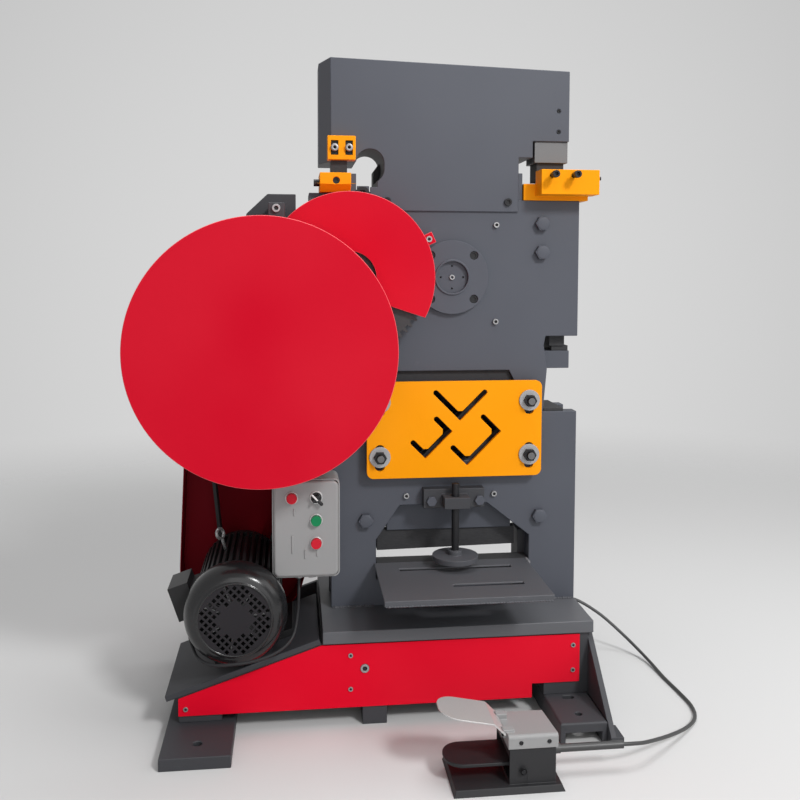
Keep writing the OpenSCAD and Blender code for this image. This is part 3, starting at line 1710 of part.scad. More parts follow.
// A tongue from -l to zero
module tongue(l, half, r) {
    translate([r - l, -half]) square([l - r, 2 * half]);
    translate([-l, r - half]) square([l, 2 * half - 2 * r]);
    for (s = [-1, 1]) translate([r - l, s * (half - r)]) circle(r);
}

module pedal_flap() {
    half = (flap_y[1] - flap_y[0]) / 2;
    mid = (flap_y[0] + flap_y[1]) / 2;
    top = flap_r - ease;
    color("lightgray") translate([flap_x, mid, flap_z]) difference() {
        union() {
            rotate([0, strip_a, 0]) translate([-strip_l, -half, top - flap_t]) cube([strip_l, 2 * half, flap_t]);
            translate([top * sin(strip_a) - strip_l * cos(strip_a), 0, strip_l * sin(strip_a) + top * cos(strip_a)])
                rotate([0, flap_a, 0]) translate([0, 0, -flap_t - ease]) linear_extrude(flap_t)
                    tongue(flap_l, half, flap_tip);
            translate([0, -mid, 0]) rod_y(0, 0, flap_r, knuckle_y[1] + ease, knuckle_y[2] - ease);
        }
        translate([0, -mid, 0]) {
            rod_y(0, 0, flap_pin_r + fit, knuckle_y[0], knuckle_y[3]);
            for (k = [0, 2])
                bar(-2 * flap_r, 2 * flap_r, knuckle_y[k] - ease, knuckle_y[k + 1] + ease, -2 * flap_r, 2 * flap_r);
        }
    }
}

module treadle() {
    half = (treadle_y[1] - treadle_y[0]) / 2;
    color("dimgray") difference() {
        union() {
            translate([treadle_pin_x, treadle_y[0] + half, treadle_z]) linear_extrude(treadle_t)
                tongue(treadle_l, half, treadle_tip);
            rod_y(treadle_pin_x, treadle_z, treadle_eye_r, treadle_y[0], treadle_y[1]);
        }
        rod_y(treadle_pin_x, treadle_z, treadle_pin_r + fit, treadle_y[0] - over, treadle_y[1] + over);
    }
}

// Torsion spring round the treadle pin: a leg up from the tray, then the coil
coil_count = coil_turns * ring_sides;
coil_start = coil_y[0] + coil_wire;
coil_run = coil_y[1] - coil_y[0] - 2 * coil_wire;
coil = [for (i = [0:coil_count]) let (a = 360 * i / ring_sides)
    [treadle_pin_x + coil_r * cos(a), coil_start + coil_run * i / coil_count, treadle_z + coil_r * sin(a)]];
coil_leg = [treadle_pin_x + coil_r, coil_start, tray_h];
coil_gap = min([for (i = [0:coil_count], j = [0:coil_count]) if (j - i >= ring_sides / 2)
    norm(coil[j] - coil[i])]) - coil_wire;
echo(coil_gap = coil_gap);

module pedal_pins() {
    color("silver") {
        rod_y(treadle_pin_x, treadle_z, treadle_pin_r, coil_y[0], foot_y[1]);
        rod_y(flap_x, flap_z, flap_pin_r, knuckle_y[0], knuckle_y[3]);
        tube(concat([coil_leg], coil), coil_wire / 2, coil_sides, [1, 0, 0]);
    }
}

module pedal_cable() {
    color("black") tube(smooth(cable_route, route_steps), cable_d / 2, ring_sides, [0, 0, 1]);
}

left_foot_plate();
right_foot_channel();
base_frame();
side_panels();
base_slab();
motor_plate();
front_plate();
rear_plate();
tie_bolts();
slide_liners();
frame_screws();
crank_bearings();
slide();
slide_screws();
punch_holder();
upper_holder();
slide_blades();
die_holder();
holder_screws();
notch_shelf();
lower_holder();
bar_block();
section_plate();
section_studs();
fixed_blades();
chute_hood();
hold_down_bracket();
hold_down_screw();
shear_bed();
work_table();
bearing_bracket();
flywheel_shaft();
flywheel();
driven_pulley();
drive_belts();
counter_shaft();
counter_gear();
bull_gear();
crank_shaft();
slide_block();
flywheel_guard();
gear_guard();
belt_guard();
motor_body();
motor_cowl();
motor_rotor();
control_box();
control_lid();
lamp_button();
selector();
green_button();
stop_button();
cable_glands();
motor_cable();
pedal_base();
pedal_cover();
pedal_flap();
treadle();
pedal_pins();
pedal_cable();
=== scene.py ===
# %% [markdown]
# # An ironworker for a steel workshop
# The machine punches, notches and shears steel. A motor on the sloping plate drives a flywheel by belts,
# gears slow that motion down, and a crank inside the frame moves a tall slide up and down. The solids
# already hold every piece in its place. This lesson gives them eased edges, paint, bright and black steel,
# rubber and moulded plastic, and adds the small forms that the solids leave plain.

# %% Load the frame
import json
import math
import bmesh
import bpy
import numpy as np
from mathutils import Matrix, Vector


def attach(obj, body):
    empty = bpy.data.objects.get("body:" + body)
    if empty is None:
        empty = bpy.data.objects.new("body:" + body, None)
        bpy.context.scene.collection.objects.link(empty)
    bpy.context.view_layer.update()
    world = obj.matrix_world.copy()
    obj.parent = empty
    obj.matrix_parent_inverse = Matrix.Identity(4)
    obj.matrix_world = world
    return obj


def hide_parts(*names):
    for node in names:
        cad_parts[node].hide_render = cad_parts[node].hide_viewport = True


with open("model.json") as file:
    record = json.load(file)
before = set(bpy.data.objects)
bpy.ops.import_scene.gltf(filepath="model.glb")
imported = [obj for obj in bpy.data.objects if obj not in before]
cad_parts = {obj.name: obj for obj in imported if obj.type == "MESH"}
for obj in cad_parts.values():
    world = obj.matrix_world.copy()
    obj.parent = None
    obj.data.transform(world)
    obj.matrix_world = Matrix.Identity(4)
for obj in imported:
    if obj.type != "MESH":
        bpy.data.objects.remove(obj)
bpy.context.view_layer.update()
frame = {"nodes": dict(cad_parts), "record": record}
nodes = frame["nodes"]
body_of_node = {n: b for b, members in frame["record"]["behaviour"]["bodies"].items() for n in members}
slot_of_node = {s["node"]: s["material_slot"] for s in frame["record"]["subparts"]}

# %% [markdown]
# ## Camera
# The picture was taken from a standing height, a little left of the crank, with the film plane shifted
# down as on a view camera. The three turns below were solved from the plate edges, so a straight copy of
# that camera puts each solid over its own picture.

# %% Camera
IMAGE_SIDE = 800
LENS_PIXELS = 900.0
SENSOR_MM = 36.0
PICTURE_MIDDLE = (397.4, 320.4)
EYE = (-0.4234, -2.370, 1.164)
YAW, PITCH, ROLL = (math.radians(angle) for angle in (6.70, 3.47, 0.15))


def turn(angle, axis):
    """A rotation matrix by the angle about one of the three axes of the picture."""
    c, s = math.cos(angle), math.sin(angle)
    first, second = [i for i in range(3) if i != axis]
    matrix = np.eye(3)
    matrix[first, first] = matrix[second, second] = c
    matrix[first, second], matrix[second, first] = -s, s
    return matrix


ahead = np.array([[1, 0, 0], [0, 0, -1], [0, 1, 0]], float)
right, down, forward = turn(ROLL, 2) @ turn(PITCH, 0) @ turn(YAW, 1) @ ahead
camera = bpy.data.objects.new("camera", bpy.data.cameras.new("camera"))
bpy.context.scene.collection.objects.link(camera)
camera.matrix_world = Matrix(np.column_stack([right, -down, -forward]).tolist()).to_4x4()
camera.location = EYE
camera.data.sensor_width = SENSOR_MM
camera.data.lens = LENS_PIXELS / IMAGE_SIDE * SENSOR_MM
camera.data.shift_x = 0.5 - PICTURE_MIDDLE[0] / IMAGE_SIDE
camera.data.shift_y = PICTURE_MIDDLE[1] / IMAGE_SIDE - 0.5
camera.data.clip_end = 200
bpy.context.scene.camera = camera
print("lens", round(camera.data.lens, 2), "mm")

# %% [markdown]
# ## The two cables
# A rubber cable runs from the base to the foot switch and lies on the floor, and a shorter one loops from
# the control box round the fan cowl to the terminal box. Both follow the routes that the solids were
# swept along: a smooth curve through given points, which a curve object thickens into a round cord.

# %% Cables
MM = 0.001
CABLE_POINTS = [
    (374, 255, 150), (405, 258, 150), (450, 250, 138), (510, 225, 102), (565, 190, 55), (600, 145, 22),
    (613, 80, 9), (616, 0, 5), (621, -90, 5), (621, -165, 5), (602, -225, 5), (556, -278, 10),
    (479, -344, 28), (402, -402, 49), (365, -423, 59), (332, -428, 62),
]
WIRE_POINTS = [
    (-408, -75, 361), (-409, -95, 325), (-413, -150, 290), (-425, -192, 252), (-460, -210, 225),
    (-515, -216, 207), (-575, -216, 200), (-622, -205, 197), (-655, -172, 200), (-672, -130, 206),
    (-684, -95, 222), (-687, -70, 245), (-687, -60, 271),
]
CABLE_THICK = 9 * MM
WIRE_THICK = 8 * MM


def smooth_route(points, steps=4):
    """Catmull-Rom curve: each stretch b to c bends by its neighbours a and d as a cubic in t."""
    p = np.array(points, float) * MM
    a, b, c, d = (p[np.clip(np.arange(len(p) - 1) + k, 0, len(p) - 1)][:, None] for k in (-1, 0, 1, 2))
    t = (np.arange(steps) / steps)[None, :, None]
    cubic = b + t / 2 * (c - a) + t**2 / 2 * (2 * a - 5 * b + 4 * c - d)
    cubic = cubic + t**3 / 2 * (3 * b - a - 3 * c + d)
    return np.vstack([cubic.reshape(-1, 3), p[-1:]])


def cable(name, points, thick, node):
    """A round cord along the route, in place of the plain solid."""
    route = smooth_route(points)
    curve = bpy.data.curves.new(name, "CURVE")
    curve.dimensions = "3D"
    curve.bevel_depth = thick / 2
    curve.bevel_resolution = 5
    curve.use_fill_caps = True
    spline = curve.splines.new("POLY")
    spline.points.add(len(route) - 1)
    spline.points.foreach_set("co", np.column_stack([route, np.ones(len(route))]).ravel())
    spline.use_smooth = True
    piece = bpy.data.objects.new(name, curve)
    bpy.context.scene.collection.objects.link(piece)
    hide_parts(node)
    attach(piece, "machine")
    return piece


foot_cable = cable("foot_cable", CABLE_POINTS, CABLE_THICK, "pedal_cable")
motor_wire = cable("motor_wire", WIRE_POINTS, WIRE_THICK, "motor_cable")

# %% [markdown]
# ## Shader maths as plain expressions
# A finish is a small sum of noises and masks. Wrapping a socket in a class with the usual operators lets
# that sum be written as it would be on paper, and every operator adds the Math node it stands for. The
# materials and the world share one method that adds any other node.

# %% Shader helpers


class Value:
    """One output socket; +, - and * add Math nodes, with a value or a number on either side."""

    def __init__(self, graph, socket):
        self.graph = graph
        self.socket = socket

    def maths(self, operation, first, second):
        return self.graph.node("ShaderNodeMath", {"operation": operation}, {0: first, 1: second})

    def __add__(self, other):
        return self.maths("ADD", self, other)

    def __sub__(self, other):
        return self.maths("SUBTRACT", self, other)

    def __rsub__(self, other):
        return self.maths("SUBTRACT", other, self)

    def __mul__(self, other):
        return self.maths("MULTIPLY", self, other)

    __radd__ = __add__
    __rmul__ = __mul__

    def at_least(self, other):
        """The larger of the two."""
        return self.maths("MAXIMUM", self, other)

    def above(self, low, high):
        """0 below low, 1 over high and a smooth rise between them."""
        return self.graph.node(
            "ShaderNodeMapRange", {"interpolation_type": "SMOOTHSTEP"},
            {"Value": self, "From Min": low, "From Max": high})


class Graph:
    """The node tree of a material or of the world."""

    def __init__(self, tree):
        self.tree = tree

    def link(self, socket, value):
        """Links the socket to a value, or sets it to a number or a colour."""
        if isinstance(value, Value):
            self.tree.links.new(value.socket, socket)
        else:
            socket.default_value = value

    def node(self, kind, settings=None, sockets=None, out=0):
        """Adds a node with its settings, then its sockets, and gives one of its outputs."""
        made = self.tree.nodes.new(kind)
        for key, setting in (settings or {}).items():
            setattr(made, key, setting)
        for key, value in (sockets or {}).items():
            self.link(made.inputs[key], value)
        return Value(self, made.outputs[out])


class Finish(Graph):
    """A material with one Principled shader, its patterns fixed to the object's own coordinates."""

    def __init__(self, name):
        self.material = bpy.data.materials.new(name)
        self.material.use_nodes = True
        super().__init__(self.material.node_tree)
        self.shader = self.tree.nodes["Principled BSDF"]
        self.place = self.node("ShaderNodeTexCoord", out="Object")

    def noise(self, scale, detail, rough=0.5, where=None):
        """A cloudy pattern from 0 to 1; scale counts its spots in a metre."""
        return self.node("ShaderNodeTexNoise", {}, {
            "Vector": where or self.place, "Scale": scale, "Detail": detail, "Roughness": rough})

    def stretched(self, x, y, z):
        """The object's coordinates scaled along each axis, so that a noise becomes streaks."""
        return self.node("ShaderNodeMapping", {}, {"Vector": self.place, "Scale": (x, y, z)})

    def mixed(self, share, first, second):
        """A colour between two colours, each a value or three numbers."""
        first, second = (end if isinstance(end, Value) else (*end, 1) for end in (first, second))
        return self.node("ShaderNodeMix", {"data_type": "RGBA"},
                         {"Factor": share, "A": first, "B": second}, "Result")

    def bump(self, height, strength, distance):
        """A normal tilted as if the height stood out by the distance, in metres."""
        return self.node("ShaderNodeBump", {},
                         {"Height": height, "Strength": strength, "Distance": distance})

    def set(self, **sockets):
        """Sets or links sockets of the shader, named with _ for each space."""
        for key, value in sockets.items():
            self.link(self.shader.inputs[key.replace("_", " ")], value)
        return self.material


def lighter(colour, share):
    """A colour moved that share of the way to white."""
    return tuple(c + (1 - c) * share for c in colour)


def darker(colour, share):
    """A colour scaled down by that share."""
    return tuple(c * (1 - share) for c in colour)


# %% [markdown]
# ## Paint, steel, rubber and plastic
# Shop paint is sprayed on thick steel: it has a fine orange peel, slow changes of tone and small scuffs
# that take the gloss away. Steel is ground or blackened, cast iron is pitted. Each finish is
# a function, so that each colour of paint shares one recipe.

# %% Finishes


def sprayed(name, colour, rough, scuff=0.25, peel=0.12, gloss=0.3):
    """Sprayed paint: slow tone change, orange peel in the bump, scuffs in colour and roughness."""
    f = Finish(name)
    slow = f.noise(2.2, 2.0)
    fine = f.noise(420.0, 2.0)
    streak = f.noise(9.0, 5.0, 0.7, f.stretched(1.0, 1.0, 3.5))
    scuffs = streak.above(0.62, 0.80) * f.noise(60.0, 4.0, 0.7).above(0.42, 0.62) * scuff
    tone = f.mixed(slow.above(0.3, 0.7), darker(colour, 0.06), lighter(colour, 0.006))
    f.set(Base_Color=f.mixed(scuffs, tone, lighter(colour, 0.10)), Metallic=0.0, Specular_IOR_Level=gloss,
          Roughness=rough + (slow - 0.5) * 0.10 + scuffs * 0.3)
    return f.set(Normal=f.bump(fine, peel, 0.0006))


def ground(name, colour, rough, grain=(1.0, 1.0, 14.0), metal=1.0, gloss=0.5):
    """Ground or turned steel: streaks along the grain and a few darker stains."""
    f = Finish(name)
    streak = f.noise(90.0, 3.0, 0.6, f.stretched(*grain))
    stain = f.noise(14.0, 4.0, 0.6).above(0.55, 0.75)
    tone = f.mixed(streak, darker(colour, 0.14), lighter(colour, 0.05))
    f.set(Base_Color=f.mixed(stain * 0.5, tone, darker(colour, 0.35)), Metallic=metal,
          Specular_IOR_Level=gloss, Roughness=rough + (streak - 0.5) * 0.16 + stain * 0.1)
    return f.set(Normal=f.bump(streak, 0.08, 0.0004))


def blackened(name, colour, rough):
    """Black oxide: nearly black steel with a faint sheen and rubbed spots."""
    f = Finish(name)
    rub = f.noise(55.0, 4.0, 0.65).above(0.58, 0.78)
    f.set(Base_Color=f.mixed(rub * 0.4, colour, lighter(colour, 0.04)), Metallic=0.4,
          Specular_IOR_Level=0.4, Roughness=rough + rub * 0.12)
    return f.set(Normal=f.bump(f.noise(500.0, 2.0), 0.08, 0.0004))


def cast(name, colour, rough):
    """Cast iron: a sandy skin of pits with soft tone changes."""
    f = Finish(name)
    pits = f.noise(240.0, 4.0, 0.7)
    slow = f.noise(5.0, 3.0)
    f.set(Base_Color=f.mixed(slow, darker(colour, 0.25), lighter(colour, 0.05)), Metallic=0.4,
          Roughness=rough + (pits - 0.5) * 0.2)
    return f.set(Normal=f.bump(pits, 0.35, 0.0006))


def moulded(name, colour, rough, gloss=0.3):
    """Moulded plastic or rubber: an even skin with a very fine grain."""
    f = Finish(name)
    grain = f.noise(900.0, 2.0)
    slow = f.noise(12.0, 2.0)
    f.set(Base_Color=f.mixed(slow, darker(colour, 0.08), lighter(colour, 0.01)), Specular_IOR_Level=gloss,
          Roughness=rough + (grain - 0.5) * 0.12)
    return f.set(Normal=f.bump(grain, 0.1, 0.0003))


FRAME_GREY = (0.073, 0.079, 0.098)
GUARD_RED = (0.59, 0.0030, 0.019)
finishes = {
    "frame_grey": sprayed("frame_grey", FRAME_GREY, 0.50),
    # A darker copy of the frame grey for the low members: painted shade, as less light reaches them
    "dark_grey": sprayed("dark_grey", (0.043, 0.044, 0.050), 0.55),
    # A lighter copy of the frame grey for the base slab: painted light for its brightly lit top
    "slab_grey_lit": sprayed("slab_grey_lit", (0.105, 0.108, 0.118), 0.45, 0.3),
    "table_grey": sprayed("table_grey", (0.078, 0.080, 0.090), 0.45, 0.5),
    "weld_grey": sprayed("weld_grey", (0.16, 0.16, 0.17), 0.40, 0.8),
    "red_paint": sprayed("red_paint", GUARD_RED, 0.45, 0.04, gloss=0.04),
    # A lighter copy of the guard red for the side panels: painted light, where the lamps reach them less
    # than the guards
    "panel_red_lit": sprayed("panel_red_lit", (0.74, 0.0035, 0.022), 0.45, 0.04, gloss=0.04),
    # A lighter, pinker red for the rounded edges of the two guards: a painted highlight along their rims
    "red_rim_highlight": sprayed("red_rim_highlight", (0.80, 0.08, 0.10), 0.35, 0.05),
    # The belt guard's red is darkened as painted shade inside the guard
    "dark_red_paint": sprayed("dark_red_paint", (0.20, 0.003, 0.010), 0.45, 0.05, gloss=0.03),
    "yellow_paint": sprayed("yellow_paint", (0.93, 0.33, 0.002), 0.45, 0.04, gloss=0.05),
    "tool_steel": ground("tool_steel", (0.17, 0.17, 0.18), 0.42),
    # The dark finish of the blades, also used as painted shade in the holes of the crank end and on the
    # walls of the keyhole
    "blades_and_painted_shade": ground("blades_and_painted_shade", (0.022, 0.022, 0.025), 0.55, metal=0.0, gloss=0.15),
    "washer_steel": ground("washer_steel", (0.36, 0.36, 0.365), 0.50, metal=0.4),
    "worn_steel": ground("worn_steel", (0.12, 0.12, 0.123), 0.5, metal=0.6),
    "black_bolts": blackened("black_bolts", (0.016, 0.016, 0.018), 0.40),
    "bright_steel": ground("bright_steel", (0.34, 0.34, 0.345), 0.42, metal=0.7),
    "gear_iron": cast("gear_iron", (0.028, 0.028, 0.031), 0.6),
    "bearing_bronze": ground("bearing_bronze", (0.45, 0.30, 0.11), 0.40),
    "black_rubber": moulded("black_rubber", (0.016, 0.016, 0.018), 0.55),
    "cable_grey": moulded("cable_grey", (0.040, 0.040, 0.041), 0.40, 0.5),
    "white_mark": moulded("white_mark", (0.75, 0.75, 0.75), 0.45),
    "motor_black": sprayed("motor_black", (0.010, 0.010, 0.011), 0.40, 0.1),
    "cowl_black": sprayed("cowl_black", (0.010, 0.010, 0.011), 0.22, 0.05, 0.05, 0.5),
    "cowl_face": sprayed("cowl_face", (0.016, 0.014, 0.017), 0.6, 0.1, gloss=0.2),
    "box_grey": sprayed("box_grey", (0.285, 0.285, 0.287), 0.45, 0.1, 0.2),
    "bare_alloy": ground("bare_alloy", (0.58, 0.575, 0.57), 0.42, (14.0, 1.0, 1.0), 0.5),
    "red_plastic": moulded("red_plastic", (0.56, 0.005, 0.022), 0.35, 0.15),
    "green_plastic": moulded("green_plastic", (0.001, 0.20, 0.070), 0.35, 0.15),
    "black_plastic": moulded("black_plastic", (0.012, 0.012, 0.013), 0.38),
    "pedal_grey": sprayed("pedal_grey", (0.020, 0.020, 0.022), 0.5, 0.15, 0.3),
}
foot_cable.data.materials.append(finishes["cable_grey"])
motor_wire.data.materials.append(finishes["black_rubber"])
print("finishes:", len(finishes))

# %% [markdown]
# ## Easing the edges of every solid
# No real edge is perfectly sharp: sawn plate has a filed edge, sheet is bent round a radius. A copy of
# each solid is merged into whole faces, a Bevel modifier rounds every edge that turns by more than
# thirty-five degrees, and weighted normals keep the flat faces flat. Cast and moulded outlines get a
# first, wider rounding on chosen edges. The copy then stands for the solid.

# %% Edge widths and finishes of the nodes
# Widths in millimetres, and the finishes of nodes that differ from their slot
EDGE = {
    "slide": 2.0, "front_plate": 2.0, "rear_plate": 2.0, "base_slab": 2.0, "left_foot_plate": 2.0,
    "base_frame": 1.5, "right_foot_channel": 1.5, "motor_plate": 1.5, "side_panels": 0.6,
    "die_holder": 1.5, "upper_holder": 1.5, "lower_holder": 1.5, "punch_holder": 1.2, "bar_block": 1.5,
    "section_plate": 0.8, "work_table": 1.4, "hold_down_bracket": 1.5, "hold_down_screw": 1.0,
    "crank_bearings": 1.2, "bearing_bracket": 2.0, "flywheel_guard": 1.4, "gear_guard": 1.2,
    "control_box": 1.0, "control_lid": 0.8, "pedal_cover": 1.5, "pedal_base": 1.2, "treadle": 1.5,
    "motor_body": 0.7, "motor_cowl": 0.7, "tie_bolts": 1.0, "section_studs": 0.7, "chute_hood": 1.0,
}
PLAIN_EDGE = 0.4
# Of these, the dark grey is painted shade on the low members, and the lighter slab grey and side panel red
# are painted light.
NODE_FINISH = {
    "bearing_bracket": "dark_grey", "left_foot_plate": "dark_grey", "right_foot_channel": "dark_grey",
    "motor_plate": "dark_grey", "base_frame": "dark_grey", "work_table": "table_grey",
    "hold_down_screw": "table_grey", "hold_down_bracket": "dark_grey", "shear_bed": "dark_grey",
    "punch_holder": "worn_steel", "fixed_blades": "blades_and_painted_shade", "slide_blades": "blades_and_painted_shade",
    "base_slab": "slab_grey_lit", "side_panels": "panel_red_lit",
}
# The rounded edges of these guards take the lighter red, a painted highlight
PAINTED_RIM_HIGHLIGHT = {"flywheel_guard": "red_rim_highlight", "gear_guard": "red_rim_highlight"}
print("edge widths:", len(EDGE), "finishes of their own:", len(NODE_FINISH))

# %% Edges with a wider rounding
# Faces and limits in millimetres; an edge within a hair of a face lies on it
HAIR = 0.1
LID_FRONT = -133
LID_MIDDLE_X, LID_MIDDLE_Z = -390, 502.5
BUTTON_FIELD_X, BUTTON_FIELD_Z = 75, 115
BOX_BACK = -25
CHANNEL_TOP = 52
CHANNEL_LEFT, CHANNEL_RIGHT, CHANNEL_NEAR = 223, 339, -305
HOOD_LOW = 112
HOOD_EDGE_LEAST = 60


def on_lid_front(a, b):
    """Edges round the front of the lid, away from the rings of the buttons."""
    off_x = abs((a.x + b.x) / 2 - LID_MIDDLE_X)
    off_z = abs((a.z + b.z) / 2 - LID_MIDDLE_Z)
    return max(a.y, b.y) < LID_FRONT + HAIR and (off_x > BUTTON_FIELD_X or off_z > BUTTON_FIELD_Z)


def on_box_back(a, b):
    """Edges round the back of the box."""
    return min(a.y, b.y) > BOX_BACK - HAIR and max(a.y, b.y) < BOX_BACK + HAIR


def on_channel_top(a, b):
    """Edges round the top of the channel, away from its holes."""
    at_side = max(a.x, b.x) < CHANNEL_LEFT or min(a.x, b.x) > CHANNEL_RIGHT
    return min(a.z, b.z) > CHANNEL_TOP - HAIR and (at_side or max(a.y, b.y) < CHANNEL_NEAR)


def on_hood(a, b):
    """The long edges at the top of the hood of the foot switch."""
    return min(a.z, b.z) > HOOD_LOW and abs(a.x - b.x) > HOOD_EDGE_LEAST


WIDE_EDGE = {
    "control_lid": (6.0, on_lid_front), "control_box": (6.0, on_box_back),
    "right_foot_channel": (5.0, on_channel_top), "pedal_cover": (3.0, on_hood),
}
print("wider rounding on:", ", ".join(WIDE_EDGE))

# %% Eased copies
SHARP = math.radians(35)
FLAT = math.radians(0.4)
SAME_PLACE = 0.01 * MM


def rounding(piece, width, segments):
    """A Bevel modifier of that width in millimetres."""
    bevel = piece.modifiers.new("edge", "BEVEL")
    bevel.width = width * MM
    bevel.segments = segments
    bevel.use_clamp_overlap = False
    bevel.loop_slide = False
    return bevel


def eased(node, finish):
    """A merged copy of a solid with rounded edges, riding on the solid's own body."""
    mesh = nodes[node].data.copy()
    shape = bmesh.new()
    shape.from_mesh(mesh)
    bmesh.ops.remove_doubles(shape, verts=shape.verts, dist=SAME_PLACE)
    bmesh.ops.dissolve_limit(shape, angle_limit=FLAT, verts=shape.verts, edges=shape.edges)
    if node in WIDE_EDGE:
        weight = shape.edges.layers.float.new("bevel_weight_edge")
        for edge in shape.edges:
            edge[weight] = float(WIDE_EDGE[node][1](*(v.co / MM for v in edge.verts)))
    shape.to_mesh(mesh)
    shape.free()
    mesh.shade_smooth()
    mesh.set_sharp_from_angle(angle=SHARP)
    mesh.materials.clear()
    mesh.materials.append(finish)
    piece = bpy.data.objects.new(node + "_eased", mesh)
    bpy.context.scene.collection.objects.link(piece)
    if node in WIDE_EDGE:
        rounding(piece, WIDE_EDGE[node][0], segments=5).limit_method = "WEIGHT"
    bevel = rounding(piece, EDGE.get(node, PLAIN_EDGE), segments=2)
    bevel.limit_method = "ANGLE"
    bevel.angle_limit = SHARP
    # The bevel faces of the guards take the lighter red as a painted highlight
    if node in PAINTED_RIM_HIGHLIGHT:
        mesh.materials.append(finishes[PAINTED_RIM_HIGHLIGHT[node]])
        bevel.material = 1
    weigh = piece.modifiers.new("flat", "WEIGHTED_NORMAL")
    weigh.keep_sharp = True
    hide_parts(node)
    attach(piece, body_of_node[node])
    return piece


SWEPT = {"pedal_cable", "motor_cable"}
dressed = {
    n: eased(n, finishes[NODE_FINISH.get(n, slot_of_node[n])]) for n in nodes if n not in SWEPT
}
print("eased copies:", len(dressed))

# %% [markdown]
# ## Second finishes on single faces
# Some solids are turned or assembled from pieces of two finishes: a painted crank end with a bright screw,
# bright washers under black nuts. Hollows that no lamp reaches get painted shade: the holes in the crank
# end, the walls of the keyhole and the slots of a yellow holder. A face takes the second finish where its
# middle lies inside a region.

# %% Faces with another finish


def tint(node, finish, inside):
    """Gives the finish to the faces whose middle (x, y, z), in millimetres, lies inside the region."""
    mesh = dressed[node].data
    middle = np.empty(len(mesh.polygons) * 3)
    mesh.polygons.foreach_get("center", middle)
    x, y, z = middle.reshape(-1, 3).T / MM
    mesh.materials.append(finishes[finish])
    index = np.empty(len(mesh.polygons), dtype=np.int32)
    mesh.polygons.foreach_get("material_index", index)
    chosen = inside(x, y, z)
    index[chosen] = len(mesh.materials) - 1
    mesh.polygons.foreach_set("material_index", index)
    print(node, finish, int(chosen.sum()), "faces")


# The painted end of the crank, and painted shade in the four holes round its screw
CRANK_Z = 1134
CRANK_END = -6
END_REACH = 0.5
HOLE_CIRCLE, HOLE_REACH = 30, 4
HOLE_MIDDLE, HOLE_HALF_DEPTH = -3, 3.4
tint("crank_shaft", "frame_grey", lambda x, y, z: np.abs(y - CRANK_END) < END_REACH)
tint("crank_shaft", "blades_and_painted_shade", lambda x, y, z: (
    np.abs(np.hypot(x, z - CRANK_Z) - HOLE_CIRCLE) < HOLE_REACH) & (
    np.abs(y - HOLE_MIDDLE) < HOLE_HALF_DEPTH))

# Painted shade on the walls of the keyhole in the slide and in the slots of the yellow holder beside it,
# and the bright screws of that holder
KEYHOLE, KEYHOLE_REACH = (-218, 80, 1418), (38, 82, 52)
SLOT_FRONT, SLOT_BACK = -45, -37
SLOT_MIDDLE, SLOT_REACH = -294.5, 29
HOLDER_RIGHT, HOLDER_LOW = -250, 1430
tint("slide", "blades_and_painted_shade", lambda *place: np.all(
    [np.abs(p - middle) < reach for p, middle, reach in zip(place, KEYHOLE, KEYHOLE_REACH)], axis=0))
# The black bolt finish on the floors and sides of the holder's slots is painted shade
tint("upper_holder", "black_bolts", lambda x, y, z: (
    y > SLOT_FRONT) & (y < SLOT_BACK) & (np.abs(x - SLOT_MIDDLE) < SLOT_REACH))
tint("slide_screws", "bright_steel", lambda x, y, z: (x < HOLDER_RIGHT) & (z > HOLDER_LOW))

# Washers and stud ends of the section plate, and the stem of the hold-down screw
WASHER_FRONT, WASHER_BACK = -38.4, -34.2
STUD_END = -53
STEM_LOW = 412
tint("section_studs", "washer_steel", lambda x, y, z: (y > WASHER_FRONT) & (y < WASHER_BACK))
tint("section_studs", "worn_steel", lambda x, y, z: y < STUD_END)
tint("hold_down_screw", "black_bolts", lambda x, y, z: z > STEM_LOW)

# The sleeve of the foot switch's cable, and the pin and the spring of the treadle
SLEEVE_LEFT, SLEEVE_BACK = 157, -400
PIN_LEFT = 70
tint("cable_glands", "cable_grey", lambda x, y, z: (x > SLEEVE_LEFT) & (y < SLEEVE_BACK))
tint("pedal_pins", "black_bolts", lambda x, y, z: x > PIN_LEFT)

# The rings of the buttons, the face of the fan cowl and the eye bolt of the motor
RING_BACK = -133.6
COWL_FACE = -199
EYE_BOLT, EYE_REACH = (-615, 20, 453), 32
tint("control_lid", "bare_alloy", lambda x, y, z: y < RING_BACK)
tint("motor_cowl", "cowl_face", lambda x, y, z: y < COWL_FACE)
tint("motor_body", "bright_steel", lambda *place: sum(
    (p - middle) ** 2 for p, middle in zip(place, EYE_BOLT)) < EYE_REACH ** 2)

# %% Painted shade in the sockets
# A socket starts just behind the front of a screw's head and takes up the middle of it
SOCKET_SHARE = 0.6
SOCKET_FROM, SOCKET_TO = 0.3, 8


